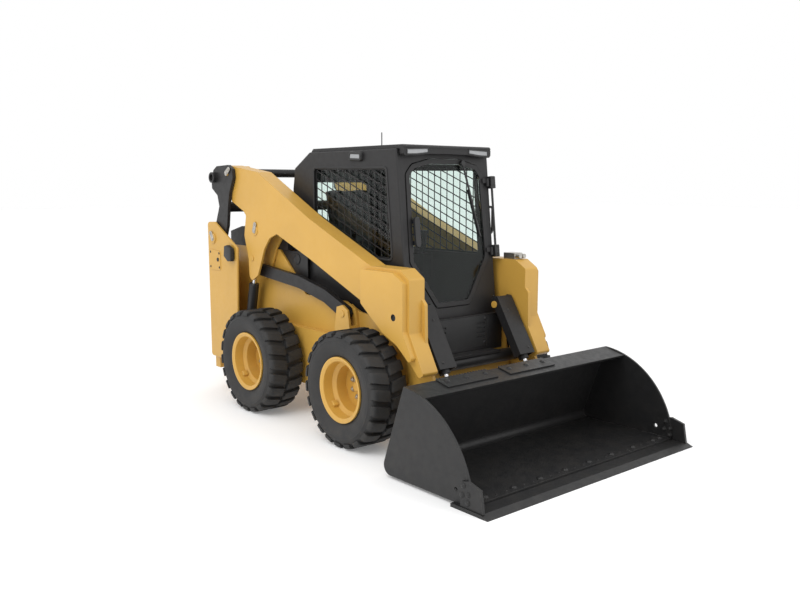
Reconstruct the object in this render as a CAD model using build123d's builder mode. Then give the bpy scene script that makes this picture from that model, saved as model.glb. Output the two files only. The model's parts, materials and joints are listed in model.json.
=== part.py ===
import os

from build123d import *

os.makedirs("parts", exist_ok=True)

# Sizes in millimetres. X runs forward, Y to the machine's left, Z up from the ground.
# Side outlines are drawn as (distance ahead of the rear axle, height).
REAR_AXLE_X = -923.5
WHEELBASE = 1270.0

# plates, pins and fits
PLATE = 18.0
SHEET = 8.0
PIN_RADIUS = 26.0
HINGE_PIN = 7.0
AXLE_RADIUS = 45.0
TOW_PIN_HOLE = 20.0
TIE_HOLE = 22.0
GAP = 6.0
RUNNING = 0.5
HINGE_RUNNING = 0.3
AXLE_RUNNING = 0.3

# half widths, each built out from the one inside it
FRAME_HALF = 498.0
CHAIN_CASE = 62.0
ARM_GAP = 7.0
ARM_WIDTH = 135.0
KNEE_PAD = 40.0
LINK_GAP = 8.0
LINK_PLATE = 28.0
TOWER_GAP = 10.0
CONTROL_WIDTH = 42.0
LIFT_EYE_WIDTH = 40.0
TILT_INSET = 105.0
CAB_INSET = 48.0
CAB_WALL = 40.0
CHAIN_HALF = FRAME_HALF + CHAIN_CASE
ARM_IN = FRAME_HALF + ARM_GAP
ARM_OUT = ARM_IN + ARM_WIDTH
KNEE_OUT = ARM_OUT + KNEE_PAD
LINK_IN = ARM_OUT + LINK_GAP
LINK_OUT = LINK_IN + LINK_PLATE
TOWER_IN = LINK_OUT + TOWER_GAP
TOWER_OUT = TOWER_IN + PLATE
CONTROL_IN = ARM_IN + PLATE + GAP
CONTROL_OUT = CONTROL_IN + CONTROL_WIDTH
LIFT_Y = CONTROL_OUT + GAP + LIFT_EYE_WIDTH / 2
TILT_Y = ARM_IN - TILT_INSET
CAB_HALF = FRAME_HALF - CAB_INSET
DOOR_HALF = FRAME_HALF - 30
ROOF_HALF = CAB_HALF - 20

# wheels
TYRE_RADIUS = 416.0
TYRE_WIDTH = 312.0
LUG_DEPTH = 24.0
RIM_RADIUS = 214.0
RIM_FLANGE = 234.0
WHEEL_GAP = 34.0
LUGS = 22
LUG_WIDTH = 76.0
LUG_SWEEP = 30.0
AXLE_Z = TYRE_RADIUS
WHEEL_Y = CHAIN_HALF + WHEEL_GAP + TYRE_WIDTH / 2
BEAD = TYRE_WIDTH / 2 - 38

# heights and ends of the chassis and the cab
PAN_Z = 230.0
PAN = 20.0
PAN_TOP = PAN_Z + PAN
FRAME_REAR = -900.0
FRAME_FRONT = 1560.0
FRONT_TOP_Z = 870.0
HOOD_SEAT_Z = 1300.0
CAB_FLOOR_Z = 640.0
CAB_TOP_Z = 2085.0
ROOF_TOP_Z = 2112.0

# pivots of the lift linkage, the cylinders and the bucket
LINK_FOOT = (-842.0, 1363.0)
CONTROL_FRONT = (920.0, 885.0)
ARM_REAR = (-620.0, 1932.0)
CONTROL_REAR = (-295.0, 1120.0)
LIFT_BASE = (-496.0, 310.0)
LIFT_EYE = (-235.0, 1455.0)
BUCKET_PIN = (1850.0, 215.0)
TILT_TOP = (1595.0, 944.0)
TILT_EYE = (1905.0, 430.0)
FRONT_TUBE = (1640.0, 560.0)
LINK_TUBE = (-725.0, 1640.0)
LIFT_BARREL = 42.0
LIFT_ROD = 18.0
LIFT_LENGTH = 705.0
TILT_BARREL = 38.0
TILT_ROD = 20.0
TILT_LENGTH = 455.0
GUARD_HALF = 78.0
GUARD_LENGTH = 430.0
GUARD_AHEAD = 56.0

# door hinges
REAR_HINGE = (-990.0, 484.0)
REAR_HINGE_Z = (520.0, 1110.0)
CAB_FRONT_FOOT = (1510.0, 760.0)
CAB_FRONT_TOP = (1369.0, 2085.0)
FRONT_HINGE = (416.0, 20.0)
FRONT_HINGE_STEPS = (545.0, 1065.0)
KNUCKLE = 12.0
DOOR_PROUD = 5.5
DOOR_THICK = 34.0
DOOR_CLEARANCE = 6.0
DOOR_RIM = 34.0

# bucket
BUCKET_HALF = 1012.0
CUTTER = 20.0
EDGE_OVER = 8.0
EDGE_HALF = BUCKET_HALF + CUTTER + EDGE_OVER
FLOOR_Z = 22.0
BUCKET_WALL = 14.0
HEEL_RADIUS = 60.0
HEEL_X = 1893.0
BACK_TOP = (2110.0, 617.0)
FLOOR_FRONT = 2700.0
EDGE_TIP = 2857.0
LIP = (175.0, -40.0)

SIDE = Plane(origin=(REAR_AXLE_X, 0, 0), x_dir=(1, 0, 0), z_dir=(0, -1, 0))
WHEEL_SIDE = Plane(origin=(0, 0, 0), x_dir=(1, 0, 0), z_dir=(0, -1, 0))
WHEEL_SECTION = Plane(origin=(0, 0, 0), x_dir=(0, -1, 0), z_dir=(-1, 0, 0))
RAKE = Vector(CAB_FRONT_TOP[0] - CAB_FRONT_FOOT[0], 0, CAB_FRONT_TOP[1] - CAB_FRONT_FOOT[1]).normalized()
FACE = Plane(
    origin=(REAR_AXLE_X + CAB_FRONT_FOOT[0], 0, CAB_FRONT_FOOT[1]), x_dir=(0, 1, 0), z_dir=(RAKE.Z, 0, -RAKE.X)
)


def profile(points, near, rounding=0.0):
    """Closed side outline at a distance right of the middle plane, its corners rounded."""
    with BuildSketch(SIDE.offset(near)) as face:
        with BuildLine():
            Polyline(*points, close=True)
        make_face()
        if rounding:
            fillet(face.vertices(), rounding)
    return face.sketch


def block(rear, front, low, high, near):
    """Upright rectangle in side view."""
    return profile([(rear, low), (front, low), (front, high), (rear, high)], near)


def disc(centre, radius, near):
    """Round side outline placed at a distance right of the middle plane."""
    with BuildSketch(SIDE.offset(near)) as face:
        with Locations(centre):
            Circle(radius)
    return face.sketch


def on_axis(start, end, offset, distance):
    """Plane square to the line from one pivot to another, a distance along it."""
    along = Vector(end[0] - start[0], 0, end[1] - start[1]).normalized()
    origin = Vector(REAR_AXLE_X + start[0], -offset, start[1]) + along * distance
    return Plane(origin=origin, x_dir=(0, 1, 0), z_dir=along)


def keep(shape, node):
    """Name a finished piece and write it."""
    shape.label = node
    export_step(shape, f"parts/{node}.step")


def both_sides(shape):
    """A piece on the right with its mirror image on the left."""
    return Compound(children=[shape, mirror(shape, about=Plane.XZ)])


# chassis: pan, chain cases that carry the axles, side plates, bulkheads, clevises and tie-down lugs
CASE = [(-300, PAN_TOP), (1480, PAN_TOP), (1540, 330), (1540, 520), (1480, 700), (-300, 700)]
SIDE_WALL = [
    (FRAME_REAR, PAN_Z), (FRAME_FRONT, PAN_Z), (FRAME_FRONT, FRONT_TOP_Z), (1380, FRONT_TOP_Z), (1010, 900),
    (830, 960), (299, 961), (-80, HOOD_SEAT_Z), (FRAME_REAR, HOOD_SEAT_Z),
]
CLEVIS = [(800, 660), (850, 930), (920, 950), (985, 915), (1030, 660)]
CLEVIS_OUT = CONTROL_OUT + GAP + PLATE
LIFT_FOOT = [(-560, 235), (-440, 235), (-440, 330), (-480, 370), (-560, 370)]
TIE_LUG = [(1425, PAN_TOP), (1440, 175), (1470, 160), (1500, 175), (1515, PAN_TOP)]
TIE_FRONT = (1470.0, 200.0)
with BuildPart() as main_frame:
    extrude(block(FRAME_REAR, FRAME_FRONT, PAN_Z, PAN_TOP, 0), amount=FRAME_HALF)
    extrude(profile(SIDE_WALL, FRAME_HALF - PLATE), amount=PLATE)
    extrude(profile(CASE, FRAME_HALF - PLATE), amount=CHAIN_CASE + PLATE)
    extrude(profile(CLEVIS, FRAME_HALF), amount=CLEVIS_OUT - FRAME_HALF)
    extrude(block(700, 1100, 800, 1000, CONTROL_IN - GAP), amount=CONTROL_WIDTH + 2 * GAP, mode=Mode.SUBTRACT)
    extrude(disc(CONTROL_FRONT, PIN_RADIUS, FRAME_HALF), amount=CLEVIS_OUT + GAP - FRAME_HALF)
    extrude(block(FRAME_FRONT - PAN, FRAME_FRONT, PAN_TOP, FRONT_TOP_Z, 0), amount=FRAME_HALF)
    for beam in (150, 1350):
        extrude(block(beam, beam + 100, CAB_FLOOR_Z - 50, CAB_FLOOR_Z, 0), amount=FRAME_HALF)
    extrude(block(-20, 0, PAN_TOP, 960, 0), amount=FRAME_HALF)
    for axle in (0, WHEELBASE):
        extrude(disc((axle, AXLE_Z), 85, CHAIN_HALF), amount=WHEEL_GAP)
        extrude(
            disc((axle, AXLE_Z), AXLE_RADIUS + AXLE_RUNNING, CHAIN_HALF - 60), amount=WHEEL_GAP + 66, mode=Mode.SUBTRACT
        )
    extrude(profile(LIFT_FOOT, FRAME_HALF), amount=LIFT_Y - LIFT_BARREL - GAP - FRAME_HALF)
    extrude(disc(LIFT_BASE, PIN_RADIUS, FRAME_HALF), amount=LIFT_Y + 30 - FRAME_HALF)
    extrude(profile(TIE_LUG, FRAME_HALF - PLATE), amount=PLATE)
    extrude(disc(TIE_FRONT, TIE_HOLE, FRAME_HALF - 2 * PLATE), amount=3 * PLATE, mode=Mode.SUBTRACT)
    mirror(about=Plane.XZ)
    for height in REAR_HINGE_Z:
        with BuildSketch(Plane.XY.offset(height)):
            with Locations((REAR_AXLE_X + FRAME_REAR - 40, FRAME_HALF - 11)):
                Rectangle(126, 22)
        extrude(amount=15)
        with BuildSketch(Plane.XY.offset(height)):
            with Locations((REAR_AXLE_X + REAR_HINGE[0], REAR_HINGE[1])):
                Circle(HINGE_PIN)
        extrude(amount=60)
keep(main_frame.part, "main_frame")

# rear towers that carry the rear links, each with a service hatch
TOWER = [(-945, 1505), (-815, 1510), (-430, HOOD_SEAT_Z), (-450, 720), (-470, 300), (-940, 300)]
HATCH = [(-912, 1085), (-722, 1085), (-722, 1255), (-915, 1268)]
with BuildPart() as tower:
    extrude(profile(TOWER, TOWER_IN, 28), amount=TOWER_OUT - TOWER_IN)
    extrude(block(-920, -590, 300, 318, FRAME_HALF), amount=TOWER_IN - FRAME_HALF)
    extrude(block(-940, -922, 318, 1150, FRAME_HALF), amount=TOWER_IN - FRAME_HALF)
    extrude(block(-940, -920, 300, 318, FRAME_HALF), amount=TOWER_IN - FRAME_HALF)
    chamfer(tower.faces().sort_by(Axis.Y)[0].edges(), 5)
    extrude(disc(LINK_FOOT, 44, TOWER_OUT), amount=10)
    extrude(profile(HATCH, TOWER_OUT, 20), amount=5)
keep(tower.part, "tower_right")
keep(mirror(tower.part, about=Plane.XZ), "tower_left")

# rear bumper with its tow pin hole and tie-down lugs
BUMPER = [(-1010, 0), (-1010, 560), (-985, 640), (-900, 640), (-900, 0)]
TIE_REAR = (-950.0, 145.0)
with BuildPart() as rear_bumper:
    with BuildSketch(Plane.XY.offset(180)):
        with BuildLine():
            Polyline(*[(REAR_AXLE_X + ahead, -across) for ahead, across in BUMPER], close=True)
        make_face()
    extrude(amount=110)
    extrude(profile([(-995, 180), (-985, 125), (-950, 105), (-915, 125), (-905, 180)], 520), amount=PLATE)
    extrude(disc(TIE_REAR, TIE_HOLE, 500), amount=60, mode=Mode.SUBTRACT)
    mirror(about=Plane.XZ)
    with Locations((REAR_AXLE_X - 960, 0, 235)):
        Hole(TOW_PIN_HOLE)
    chamfer(rear_bumper.faces().sort_by(Axis.X)[0].edges(), 12)
keep(rear_bumper.part, "rear_bumper")

# engine, hood and rear door
with BuildPart() as engine_block:
    extrude(block(-780, -140, 420, 1080, 0), amount=300)
    for foot in (-720, -260):
        extrude(block(foot, foot + 60, PAN_TOP, 420, 0), amount=240)
    mirror(about=Plane.XZ)
keep(engine_block.part, "engine_block")

HOOD = [
    (FRAME_REAR, HOOD_SEAT_Z), (40, HOOD_SEAT_Z), (40, HOOD_SEAT_Z + 170), (-700, HOOD_SEAT_Z + 170),
    (FRAME_REAR, HOOD_SEAT_Z + 120),
]
HOOD_IN = [
    (FRAME_REAR + 14, HOOD_SEAT_Z - 10), (30, HOOD_SEAT_Z - 10), (30, HOOD_SEAT_Z + 154), (-696, HOOD_SEAT_Z + 154),
    (FRAME_REAR + 14, HOOD_SEAT_Z + 108),
]
with BuildPart() as engine_hood:
    extrude(profile(HOOD, 0), amount=FRAME_HALF)
    extrude(profile(HOOD_IN, 0), amount=FRAME_HALF - PLATE, mode=Mode.SUBTRACT)
    mirror(about=Plane.XZ)
    with BuildSketch(Plane.XY.offset(HOOD_SEAT_Z + 140)):
        with Locations((REAR_AXLE_X - 440, 0)):
            with GridLocations(56, 0, 8, 1):
                SlotOverall(560, 26, rotation=90)
    extrude(amount=60, mode=Mode.SUBTRACT)
keep(engine_hood.part, "engine_hood")

with BuildPart() as rear_door:
    extrude(profile([(-985, 330), (-910, 330), (-910, 1290), (-960, 1290)], 0), amount=DOOR_HALF)
    extrude(
        profile([(-955, 350), (-900, 350), (-900, 1270), (-945, 1270)], 0), amount=DOOR_HALF - 20, mode=Mode.SUBTRACT
    )
    mirror(about=Plane.XZ)
    with BuildSketch(Plane.YZ.offset(REAR_AXLE_X - 1010)):
        with Locations((0, 800)):
            with GridLocations(0, 60, 1, 12):
                SlotOverall(640, 26)
    extrude(amount=70, mode=Mode.SUBTRACT)
    for height in REAR_HINGE_Z:
        with BuildSketch(Plane.XY.offset(height + 15.4)):
            with Locations((REAR_AXLE_X + REAR_HINGE[0], REAR_HINGE[1])):
                Circle(2 * HINGE_PIN)
            with Locations((REAR_AXLE_X + REAR_HINGE[0] + 14, REAR_HINGE[1] - 14)):
                Rectangle(40, 28)
            with Locations((REAR_AXLE_X + REAR_HINGE[0], REAR_HINGE[1])):
                Circle(HINGE_PIN + HINGE_RUNNING, mode=Mode.SUBTRACT)
        extrude(amount=40)
keep(rear_door.part, "rear_door")

# cab shell with its window and door openings; the front is raked, and the door is drawn on that plane
CAB = [
    (60, CAB_FLOOR_Z), (60, 1800), (90, 1965), (300, CAB_TOP_Z), CAB_FRONT_TOP, CAB_FRONT_FOOT,
    (CAB_FRONT_FOOT[0], CAB_FLOOR_Z),
]
CAB_IN = [
    (100, CAB_FLOOR_Z - 40), (100, 1790), (125, 1935), (310, CAB_TOP_Z - CAB_WALL),
    (CAB_FRONT_TOP[0] - 36, CAB_TOP_Z - CAB_WALL), (CAB_FRONT_FOOT[0] - CAB_WALL, CAB_FRONT_FOOT[1] - 10),
    (CAB_FRONT_FOOT[0] - CAB_WALL, CAB_FLOOR_Z - 40),
]
SIDE_WINDOW = [(360, 1330), (360, 1965), (1262, 1955), (1328, 1300), (420, 1300)]
REAR_WINDOW = (640.0, 480.0)
REAR_WINDOW_Z = 1620.0
DOOR_SIDE = [(170, 186), (400, 528), (386, 1158), (322, 1228), (150, 1268)]
DOOR = DOOR_SIDE + [(-across, up) for across, up in reversed(DOOR_SIDE)]


def door_outline(inset, ahead, rounding):
    """Front door outline on the raked front, drawn in from the opening and placed ahead of it."""
    with BuildSketch(FACE.offset(ahead)) as face:
        with BuildLine():
            Polyline(*DOOR, close=True)
        make_face()
        offset(amount=-inset, kind=Kind.INTERSECTION)
        fillet(face.vertices(), rounding)
    return face.sketch


def hinge_plane(step):
    """Plane square to the front door's raked hinge line, some way up it."""
    foot = FACE.from_local_coords(Vector(FRONT_HINGE[0], step, FRONT_HINGE[1]))
    return Plane(origin=foot, x_dir=(0, 1, 0), z_dir=RAKE)


with BuildPart() as cab_frame:
    extrude(profile(CAB, 0), amount=CAB_HALF)
    fillet(cab_frame.faces().sort_by(Axis.Y)[0].edges(), 10)
    extrude(profile(CAB_IN, 0), amount=CAB_HALF - CAB_WALL, mode=Mode.SUBTRACT)
    extrude(
        profile(SIDE_WINDOW, CAB_HALF - 2 * CAB_WALL, 30), amount=3 * CAB_WALL, mode=Mode.SUBTRACT
    )
    mirror(about=Plane.XZ)
    with BuildSketch(Plane.YZ.offset(REAR_AXLE_X + 20)):
        with Locations((0, REAR_WINDOW_Z)):
            RectangleRounded(*REAR_WINDOW, 40)
    extrude(amount=120, mode=Mode.SUBTRACT)
    extrude(door_outline(0, -2 * CAB_WALL, 50), amount=3 * CAB_WALL, mode=Mode.SUBTRACT)
    for step in FRONT_HINGE_STEPS:
        with BuildSketch(hinge_plane(step)):
            Circle(KNUCKLE)
            with Locations((KNUCKLE, KNUCKLE)):
                Rectangle(2 * KNUCKLE, 22)
        extrude(amount=24)
        with BuildSketch(hinge_plane(step)):
            Circle(HINGE_PIN)
        extrude(amount=60)
keep(cab_frame.part, "cab_frame")

# roof with the visor that holds the work lamps
ROOF = [(300, CAB_TOP_Z), (1424, CAB_TOP_Z), (1428, ROOF_TOP_Z - 12), (1416, ROOF_TOP_Z), (330, ROOF_TOP_Z)]
VISOR_BACK = 1384.0
VISOR_FRONT = 1428.0
VISOR_SIDE = [(0, 2052), (190, 2050), (300, 2038), (ROOF_HALF - 14, 2034), (ROOF_HALF, 2050), (ROOF_HALF, CAB_TOP_Z)]
LAMP = [(200, 2058), (310, 2046), (400, 2044), (400, 2082), (200, 2090)]
LAMP_DEPTH = 12.0
with BuildPart() as cab_roof:
    extrude(profile(ROOF, 0), amount=ROOF_HALF)
    with BuildSketch(Plane.YZ.offset(REAR_AXLE_X + VISOR_BACK)):
        with BuildLine():
            Polyline(*[(-across, up) for across, up in VISOR_SIDE], (0, CAB_TOP_Z), close=True)
        make_face()
    extrude(amount=VISOR_FRONT - VISOR_BACK)
    with BuildSketch(Plane.YZ.offset(REAR_AXLE_X + VISOR_FRONT)):
        with BuildLine():
            Polyline(*[(-across, up) for across, up in LAMP], close=True)
        make_face()
    extrude(amount=-LAMP_DEPTH, mode=Mode.SUBTRACT)
    mirror(about=Plane.XZ)
keep(cab_roof.part, "cab_roof")

with BuildPart() as front_lamp:
    with BuildSketch(Plane.YZ.offset(REAR_AXLE_X + VISOR_FRONT - LAMP_DEPTH)):
        with BuildLine():
            Polyline(*[(-across, up) for across, up in LAMP], close=True)
        make_face()
        offset(amount=-RUNNING, kind=Kind.INTERSECTION)
    extrude(amount=LAMP_DEPTH - 2)
with BuildPart() as side_lamp:
    extrude(profile([(850, 2020), (985, 2014), (985, 2060), (860, 2066)], CAB_HALF, 8), amount=20)
LAMPS = [front_lamp.part, side_lamp.part]
LAMPS += [mirror(lamp, about=Plane.XZ) for lamp in LAMPS]
keep(Compound(children=LAMPS), "work_lamps")

with BuildPart() as antenna:
    with BuildSketch(Plane.XY.offset(ROOF_TOP_Z)):
        with Locations((REAR_AXLE_X + 780, -100)):
            Circle(18)
    extrude(amount=12, taper=20)
    with BuildSketch(Plane.XY.offset(ROOF_TOP_Z)):
        with Locations((REAR_AXLE_X + 780, -100)):
            Circle(4)
    extrude(amount=120)
keep(antenna.part, "antenna")

# inside the cab: floor with the seat's base, seat and consoles
SEAT_Z = 1120.0
with BuildPart() as cab_floor:
    extrude(
        block(100, CAB_FRONT_FOOT[0] - CAB_WALL, CAB_FLOOR_Z, CAB_FLOOR_Z + 20, 0), amount=CAB_HALF - CAB_WALL
    )
    extrude(block(160, 640, CAB_FLOOR_Z + 20, SEAT_Z, 0), amount=280)
    mirror(about=Plane.XZ)
keep(cab_floor.part, "cab_floor")



def cushion_top(ahead):
    """Point on the seat cushion's sloping top."""
    return (ahead, SEAT_Z + 90 + (ahead - 200) / 27)


with BuildPart() as seat_cushion:
    extrude(profile([(200, SEAT_Z), (720, SEAT_Z), cushion_top(740), cushion_top(200)], 0), amount=240)
    mirror(about=Plane.XZ)
    fillet(seat_cushion.faces().sort_by(Axis.Z)[-1].edges(), 30)
keep(seat_cushion.part, "seat_cushion")

with BuildPart() as seat_back:
    extrude(profile([cushion_top(235), cushion_top(350), (240, 1800), (140, 1790)], 0), amount=205)
    mirror(about=Plane.XZ)
    fillet(seat_back.edges().filter_by(Axis.Y, reverse=True).sort_by(Axis.X)[-3:], 20)
keep(seat_back.part, "seat_back")

with BuildPart() as console:
    extrude(profile([(300, CAB_FLOOR_Z + 20), (760, CAB_FLOOR_Z + 20), (820, 1280), (300, 1280)], 300), amount=90)
    extrude(profile([(735, 1280), (775, 1280), (790, 1425), (800, 1465), (745, 1465), (750, 1425)], 325), amount=40)
keep(both_sides(console.part), "consoles")

# window glass and side screens
with BuildPart() as side_glass:
    extrude(profile(SIDE_WINDOW, CAB_HALF - CAB_WALL, 30), amount=SHEET)
keep(both_sides(side_glass.part), "side_glass")

with BuildPart() as rear_glass:
    with BuildSketch(Plane.YZ.offset(REAR_AXLE_X + 66)):
        with Locations((0, REAR_WINDOW_Z)):
            RectangleRounded(*REAR_WINDOW, 40)
    extrude(amount=SHEET)
keep(rear_glass.part, "rear_glass")

# each screen has upright bars inside and sloping bars outside, joined by its rim
SCREEN_BAR = 3.4
SCREEN_Y = CAB_HALF - 3 * SHEET
SCREEN_MIDDLE = (845.0, 1630.0)
UPRIGHTS = 12
UPRIGHT_PITCH = 74.0
SLOPERS = 15
SLOPER_PITCH = 62.0
SLOPER_ANGLE = -21.0
with BuildPart() as side_screen:
    with BuildSketch(SIDE.offset(SCREEN_Y)):
        with Locations(SCREEN_MIDDLE):
            with GridLocations(UPRIGHT_PITCH, 0, UPRIGHTS, 1):
                Rectangle(SHEET, 700)
    extrude(amount=SCREEN_BAR)
    with BuildSketch(SIDE.offset(SCREEN_Y + SHEET - SCREEN_BAR)):
        with Locations(Location((SCREEN_MIDDLE[0], SCREEN_MIDDLE[1], 0), (0, 0, SLOPER_ANGLE))):
            with GridLocations(0, SLOPER_PITCH, 1, SLOPERS):
                Rectangle(1200, SHEET)
    extrude(amount=SCREEN_BAR)
    extrude(profile(SIDE_WINDOW, SCREEN_Y, 30), amount=SHEET, mode=Mode.INTERSECT)
    with BuildSketch(SIDE.offset(SCREEN_Y)) as screen_rim:
        with BuildLine():
            Polyline(*SIDE_WINDOW, close=True)
        make_face()
        fillet(screen_rim.vertices(), 30)
        offset(amount=-2 * SHEET, kind=Kind.INTERSECTION, mode=Mode.SUBTRACT)
    extrude(amount=SHEET)
keep(both_sides(side_screen.part), "side_screens")

# front door in the raked front of the cab
DOOR_OUT = DOOR_PROUD - DOOR_THICK
with BuildPart() as door_frame:
    extrude(door_outline(DOOR_CLEARANCE, DOOR_OUT, 46), amount=DOOR_THICK)
    extrude(door_outline(DOOR_CLEARANCE + DOOR_RIM, DOOR_OUT, 40), amount=DOOR_THICK, mode=Mode.SUBTRACT)
    for step in FRONT_HINGE_STEPS:
        with BuildSketch(hinge_plane(step + 24.4)):
            Circle(KNUCKLE)
            with Locations((-2 * KNUCKLE, 9)):
                Rectangle(4 * KNUCKLE, 14)
            Circle(HINGE_PIN + HINGE_RUNNING, mode=Mode.SUBTRACT)
        extrude(amount=34)
keep(door_frame.part, "door_frame")

PANE = DOOR_OUT + 14
with BuildPart() as door_glass:
    extrude(door_outline(DOOR_CLEARANCE + DOOR_RIM, PANE, 40), amount=SHEET)
keep(door_glass.part, "door_glass")

# handle bolted through the glass
HANDLE_Y = -335.0
HANDLE = (640.0, 850.0)
HANDLE_WIDTH = 46.0
HANDLE_PROUD = 46.0
with BuildPart() as door_handle:
    with BuildSketch(FACE.offset(PANE + SHEET)):
        with Locations((HANDLE_Y, HANDLE[0] + 28), (HANDLE_Y, HANDLE[1] - 28)):
            Rectangle(26, 30)
    extrude(amount=HANDLE_PROUD)
    with BuildSketch(FACE.offset(PANE + SHEET + HANDLE_PROUD - 16)):
        with Locations((HANDLE_Y, (HANDLE[0] + HANDLE[1]) / 2)):
            SlotOverall(HANDLE[1] - HANDLE[0], HANDLE_WIDTH, rotation=90)
    extrude(amount=20)
keep(door_handle.part, "door_handle")

WIPER_PIVOT = (165.0, 1236.0)
WIPER_LENGTH = 560.0
WIPER_LEAN = 14.0
with BuildPart() as door_wiper:
    with BuildSketch(FACE.offset(DOOR_PROUD)):
        with Locations(WIPER_PIVOT):
            Circle(20)
    extrude(amount=24)
    with BuildSketch(FACE.offset(DOOR_PROUD + 12)):
        with Locations(Location((WIPER_PIVOT[0], WIPER_PIVOT[1], 0), (0, 0, WIPER_LEAN))):
            with Locations((0, -WIPER_LENGTH / 2)):
                Rectangle(14, WIPER_LENGTH)
    extrude(amount=8)
    with BuildSketch(FACE.offset(DOOR_PROUD - 6)):
        with Locations(Location((WIPER_PIVOT[0], WIPER_PIVOT[1], 0), (0, 0, WIPER_LEAN))):
            with Locations((0, 180 - WIPER_LENGTH)):
                Rectangle(9, 360)
    extrude(amount=19)
keep(door_wiper.part, "door_wiper")

# grab handle on the cab's left front corner
GRAB = (CAB_FRONT_FOOT[0] - 105.0, 1465.0, 1665.0)
with BuildPart() as grab_handles:
    with BuildLine(Plane.YZ.offset(REAR_AXLE_X + GRAB[0])) as loop:
        FilletPolyline(
            (CAB_HALF - 5, GRAB[1]), (CAB_HALF + 34, GRAB[1]), (CAB_HALF + 34, GRAB[2]), (CAB_HALF - 5, GRAB[2]), radius=20
        )
    with BuildSketch(Plane(origin=loop.line @ 0, z_dir=loop.line % 0)):
        Circle(9)
    sweep()
    extrude(profile(CAB, 0), amount=-CAB_HALF, mode=Mode.SUBTRACT)
keep(grab_handles.part, "grab_handles")

# front cover with its louvres
with BuildPart() as front_cover:
    extrude(block(FRAME_FRONT, FRAME_FRONT + 14, 640, FRONT_TOP_Z, 0), amount=270)
    mirror(about=Plane.XZ)
    with BuildSketch(Plane.YZ.offset(REAR_AXLE_X + FRAME_FRONT + 6)):
        with Locations((-200, 760), (200, 760)):
            with GridLocations(0, 34, 1, 4):
                SlotOverall(90, 14)
    extrude(amount=20, mode=Mode.SUBTRACT)
    fillet(front_cover.edges().filter_by(Axis.X).group_by(Axis.Z)[-1], 40)
keep(front_cover.part, "front_cover")

with BuildPart() as tail_lamp:
    extrude(profile([(-560, 1225), (-480, 1190), (-480, 1280), (-545, 1310)], TOWER_OUT, 14), amount=14)
keep(both_sides(tail_lamp.part), "tail_lamps")

# loader arms: hollow boxes, open round the rear bracket where link and cylinder enter
ARM = [
    (-690, 1960), (-660, 1998), (-180, 1935), (560, 1580), (1320, 1272), (1633, 1272), (1733, 1210),
    (1733, 845), (1876, 588), (1830, 560), (1647, 741), (1482, 814), (1200, 1020), (560, 1275), (100, 1440),
    (-10, 1400), (-95, 1308), (-205, 1080), (-300, 1030), (-340, 1060), (-350, 1210), (-412, 1408), (-377, 1577),
    (-420, 1612), (-610, 1690), (-690, 1860),
]
POCKET = [(-460, 980), (80, 980), (80, 1420), (-120, 1520), (-460, 1540)]
LEG = [
    (1340, 1240), (1570, 1240), (1765, 1037), (1771, 765), (1848, 541), (1925, 260), (1925, 180), (1850, 140),
    (1780, 180), (1760, 330), (1600, 480), (1580, 640), (1482, 814), (1340, 915),
]
KNEE = [(1250, 1250), (1600, 1250), (1710, 1190), (1710, 860), (1850, 600), (1650, 760), (1490, 830), (1250, 1010)]
KNEE_HOLE = (1612.0, 947.0)
with BuildPart() as arm:
    extrude(profile(ARM, ARM_IN, 18), amount=ARM_WIDTH)
    with BuildSketch(SIDE.offset(ARM_IN + PLATE)):
        with BuildLine():
            Polyline(*ARM, close=True)
        make_face()
        offset(amount=-14, kind=Kind.INTERSECTION)
    extrude(amount=ARM_WIDTH - 2 * PLATE, mode=Mode.SUBTRACT)
    extrude(profile(POCKET, ARM_IN + PLATE), amount=ARM_WIDTH - 2 * PLATE, mode=Mode.SUBTRACT)
    extrude(profile(LEG, ARM_IN, 16), amount=PLATE + 7)
    extrude(profile(KNEE, ARM_OUT, 24), amount=KNEE_PAD)
    extrude(disc(KNEE_HOLE, 24, KNEE_OUT - 14), amount=20, mode=Mode.SUBTRACT)
    extrude(disc(BUCKET_PIN, 75, ARM_IN - 15), amount=70)
    extrude(disc(BUCKET_PIN, PIN_RADIUS + RUNNING, ARM_IN - 20), amount=90, mode=Mode.SUBTRACT)
    extrude(disc(TILT_TOP, PIN_RADIUS, TILT_Y - GUARD_HALF - 8), amount=ARM_IN - TILT_Y + GUARD_HALF + 8)
    extrude(disc(CONTROL_REAR, PIN_RADIUS, ARM_IN + PLATE), amount=CONTROL_OUT - ARM_IN - PLATE)
    extrude(disc(ARM_REAR, 60, ARM_IN - 40), amount=ARM_WIDTH + 40)
    extrude(disc(ARM_REAR, PIN_RADIUS, ARM_OUT), amount=LINK_OUT - ARM_OUT + GAP)
    extrude(disc(LIFT_EYE, 42, ARM_OUT), amount=7)
    extrude(disc((-287, 1222), 24, ARM_OUT), amount=6)
keep(arm.part, "arm_right")
keep(mirror(arm.part, about=Plane.XZ), "arm_left")

with BuildPart() as arm_rear_tube:
    extrude(disc(ARM_REAR, 36, 0), amount=ARM_IN - 40)
    mirror(about=Plane.XZ)
keep(arm_rear_tube.part, "arm_rear_tube")

with BuildPart() as arm_front_tube:
    extrude(disc(FRONT_TUBE, 48, 0), amount=ARM_IN)
    extrude(block(FRONT_TUBE[0] - 52, FRONT_TUBE[0] + 46, FRONT_TUBE[1] + 40, FRONT_TUBE[1] + 58, 0), amount=290)
    mirror(about=Plane.XZ)
keep(arm_front_tube.part, "arm_front_tube")

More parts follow.
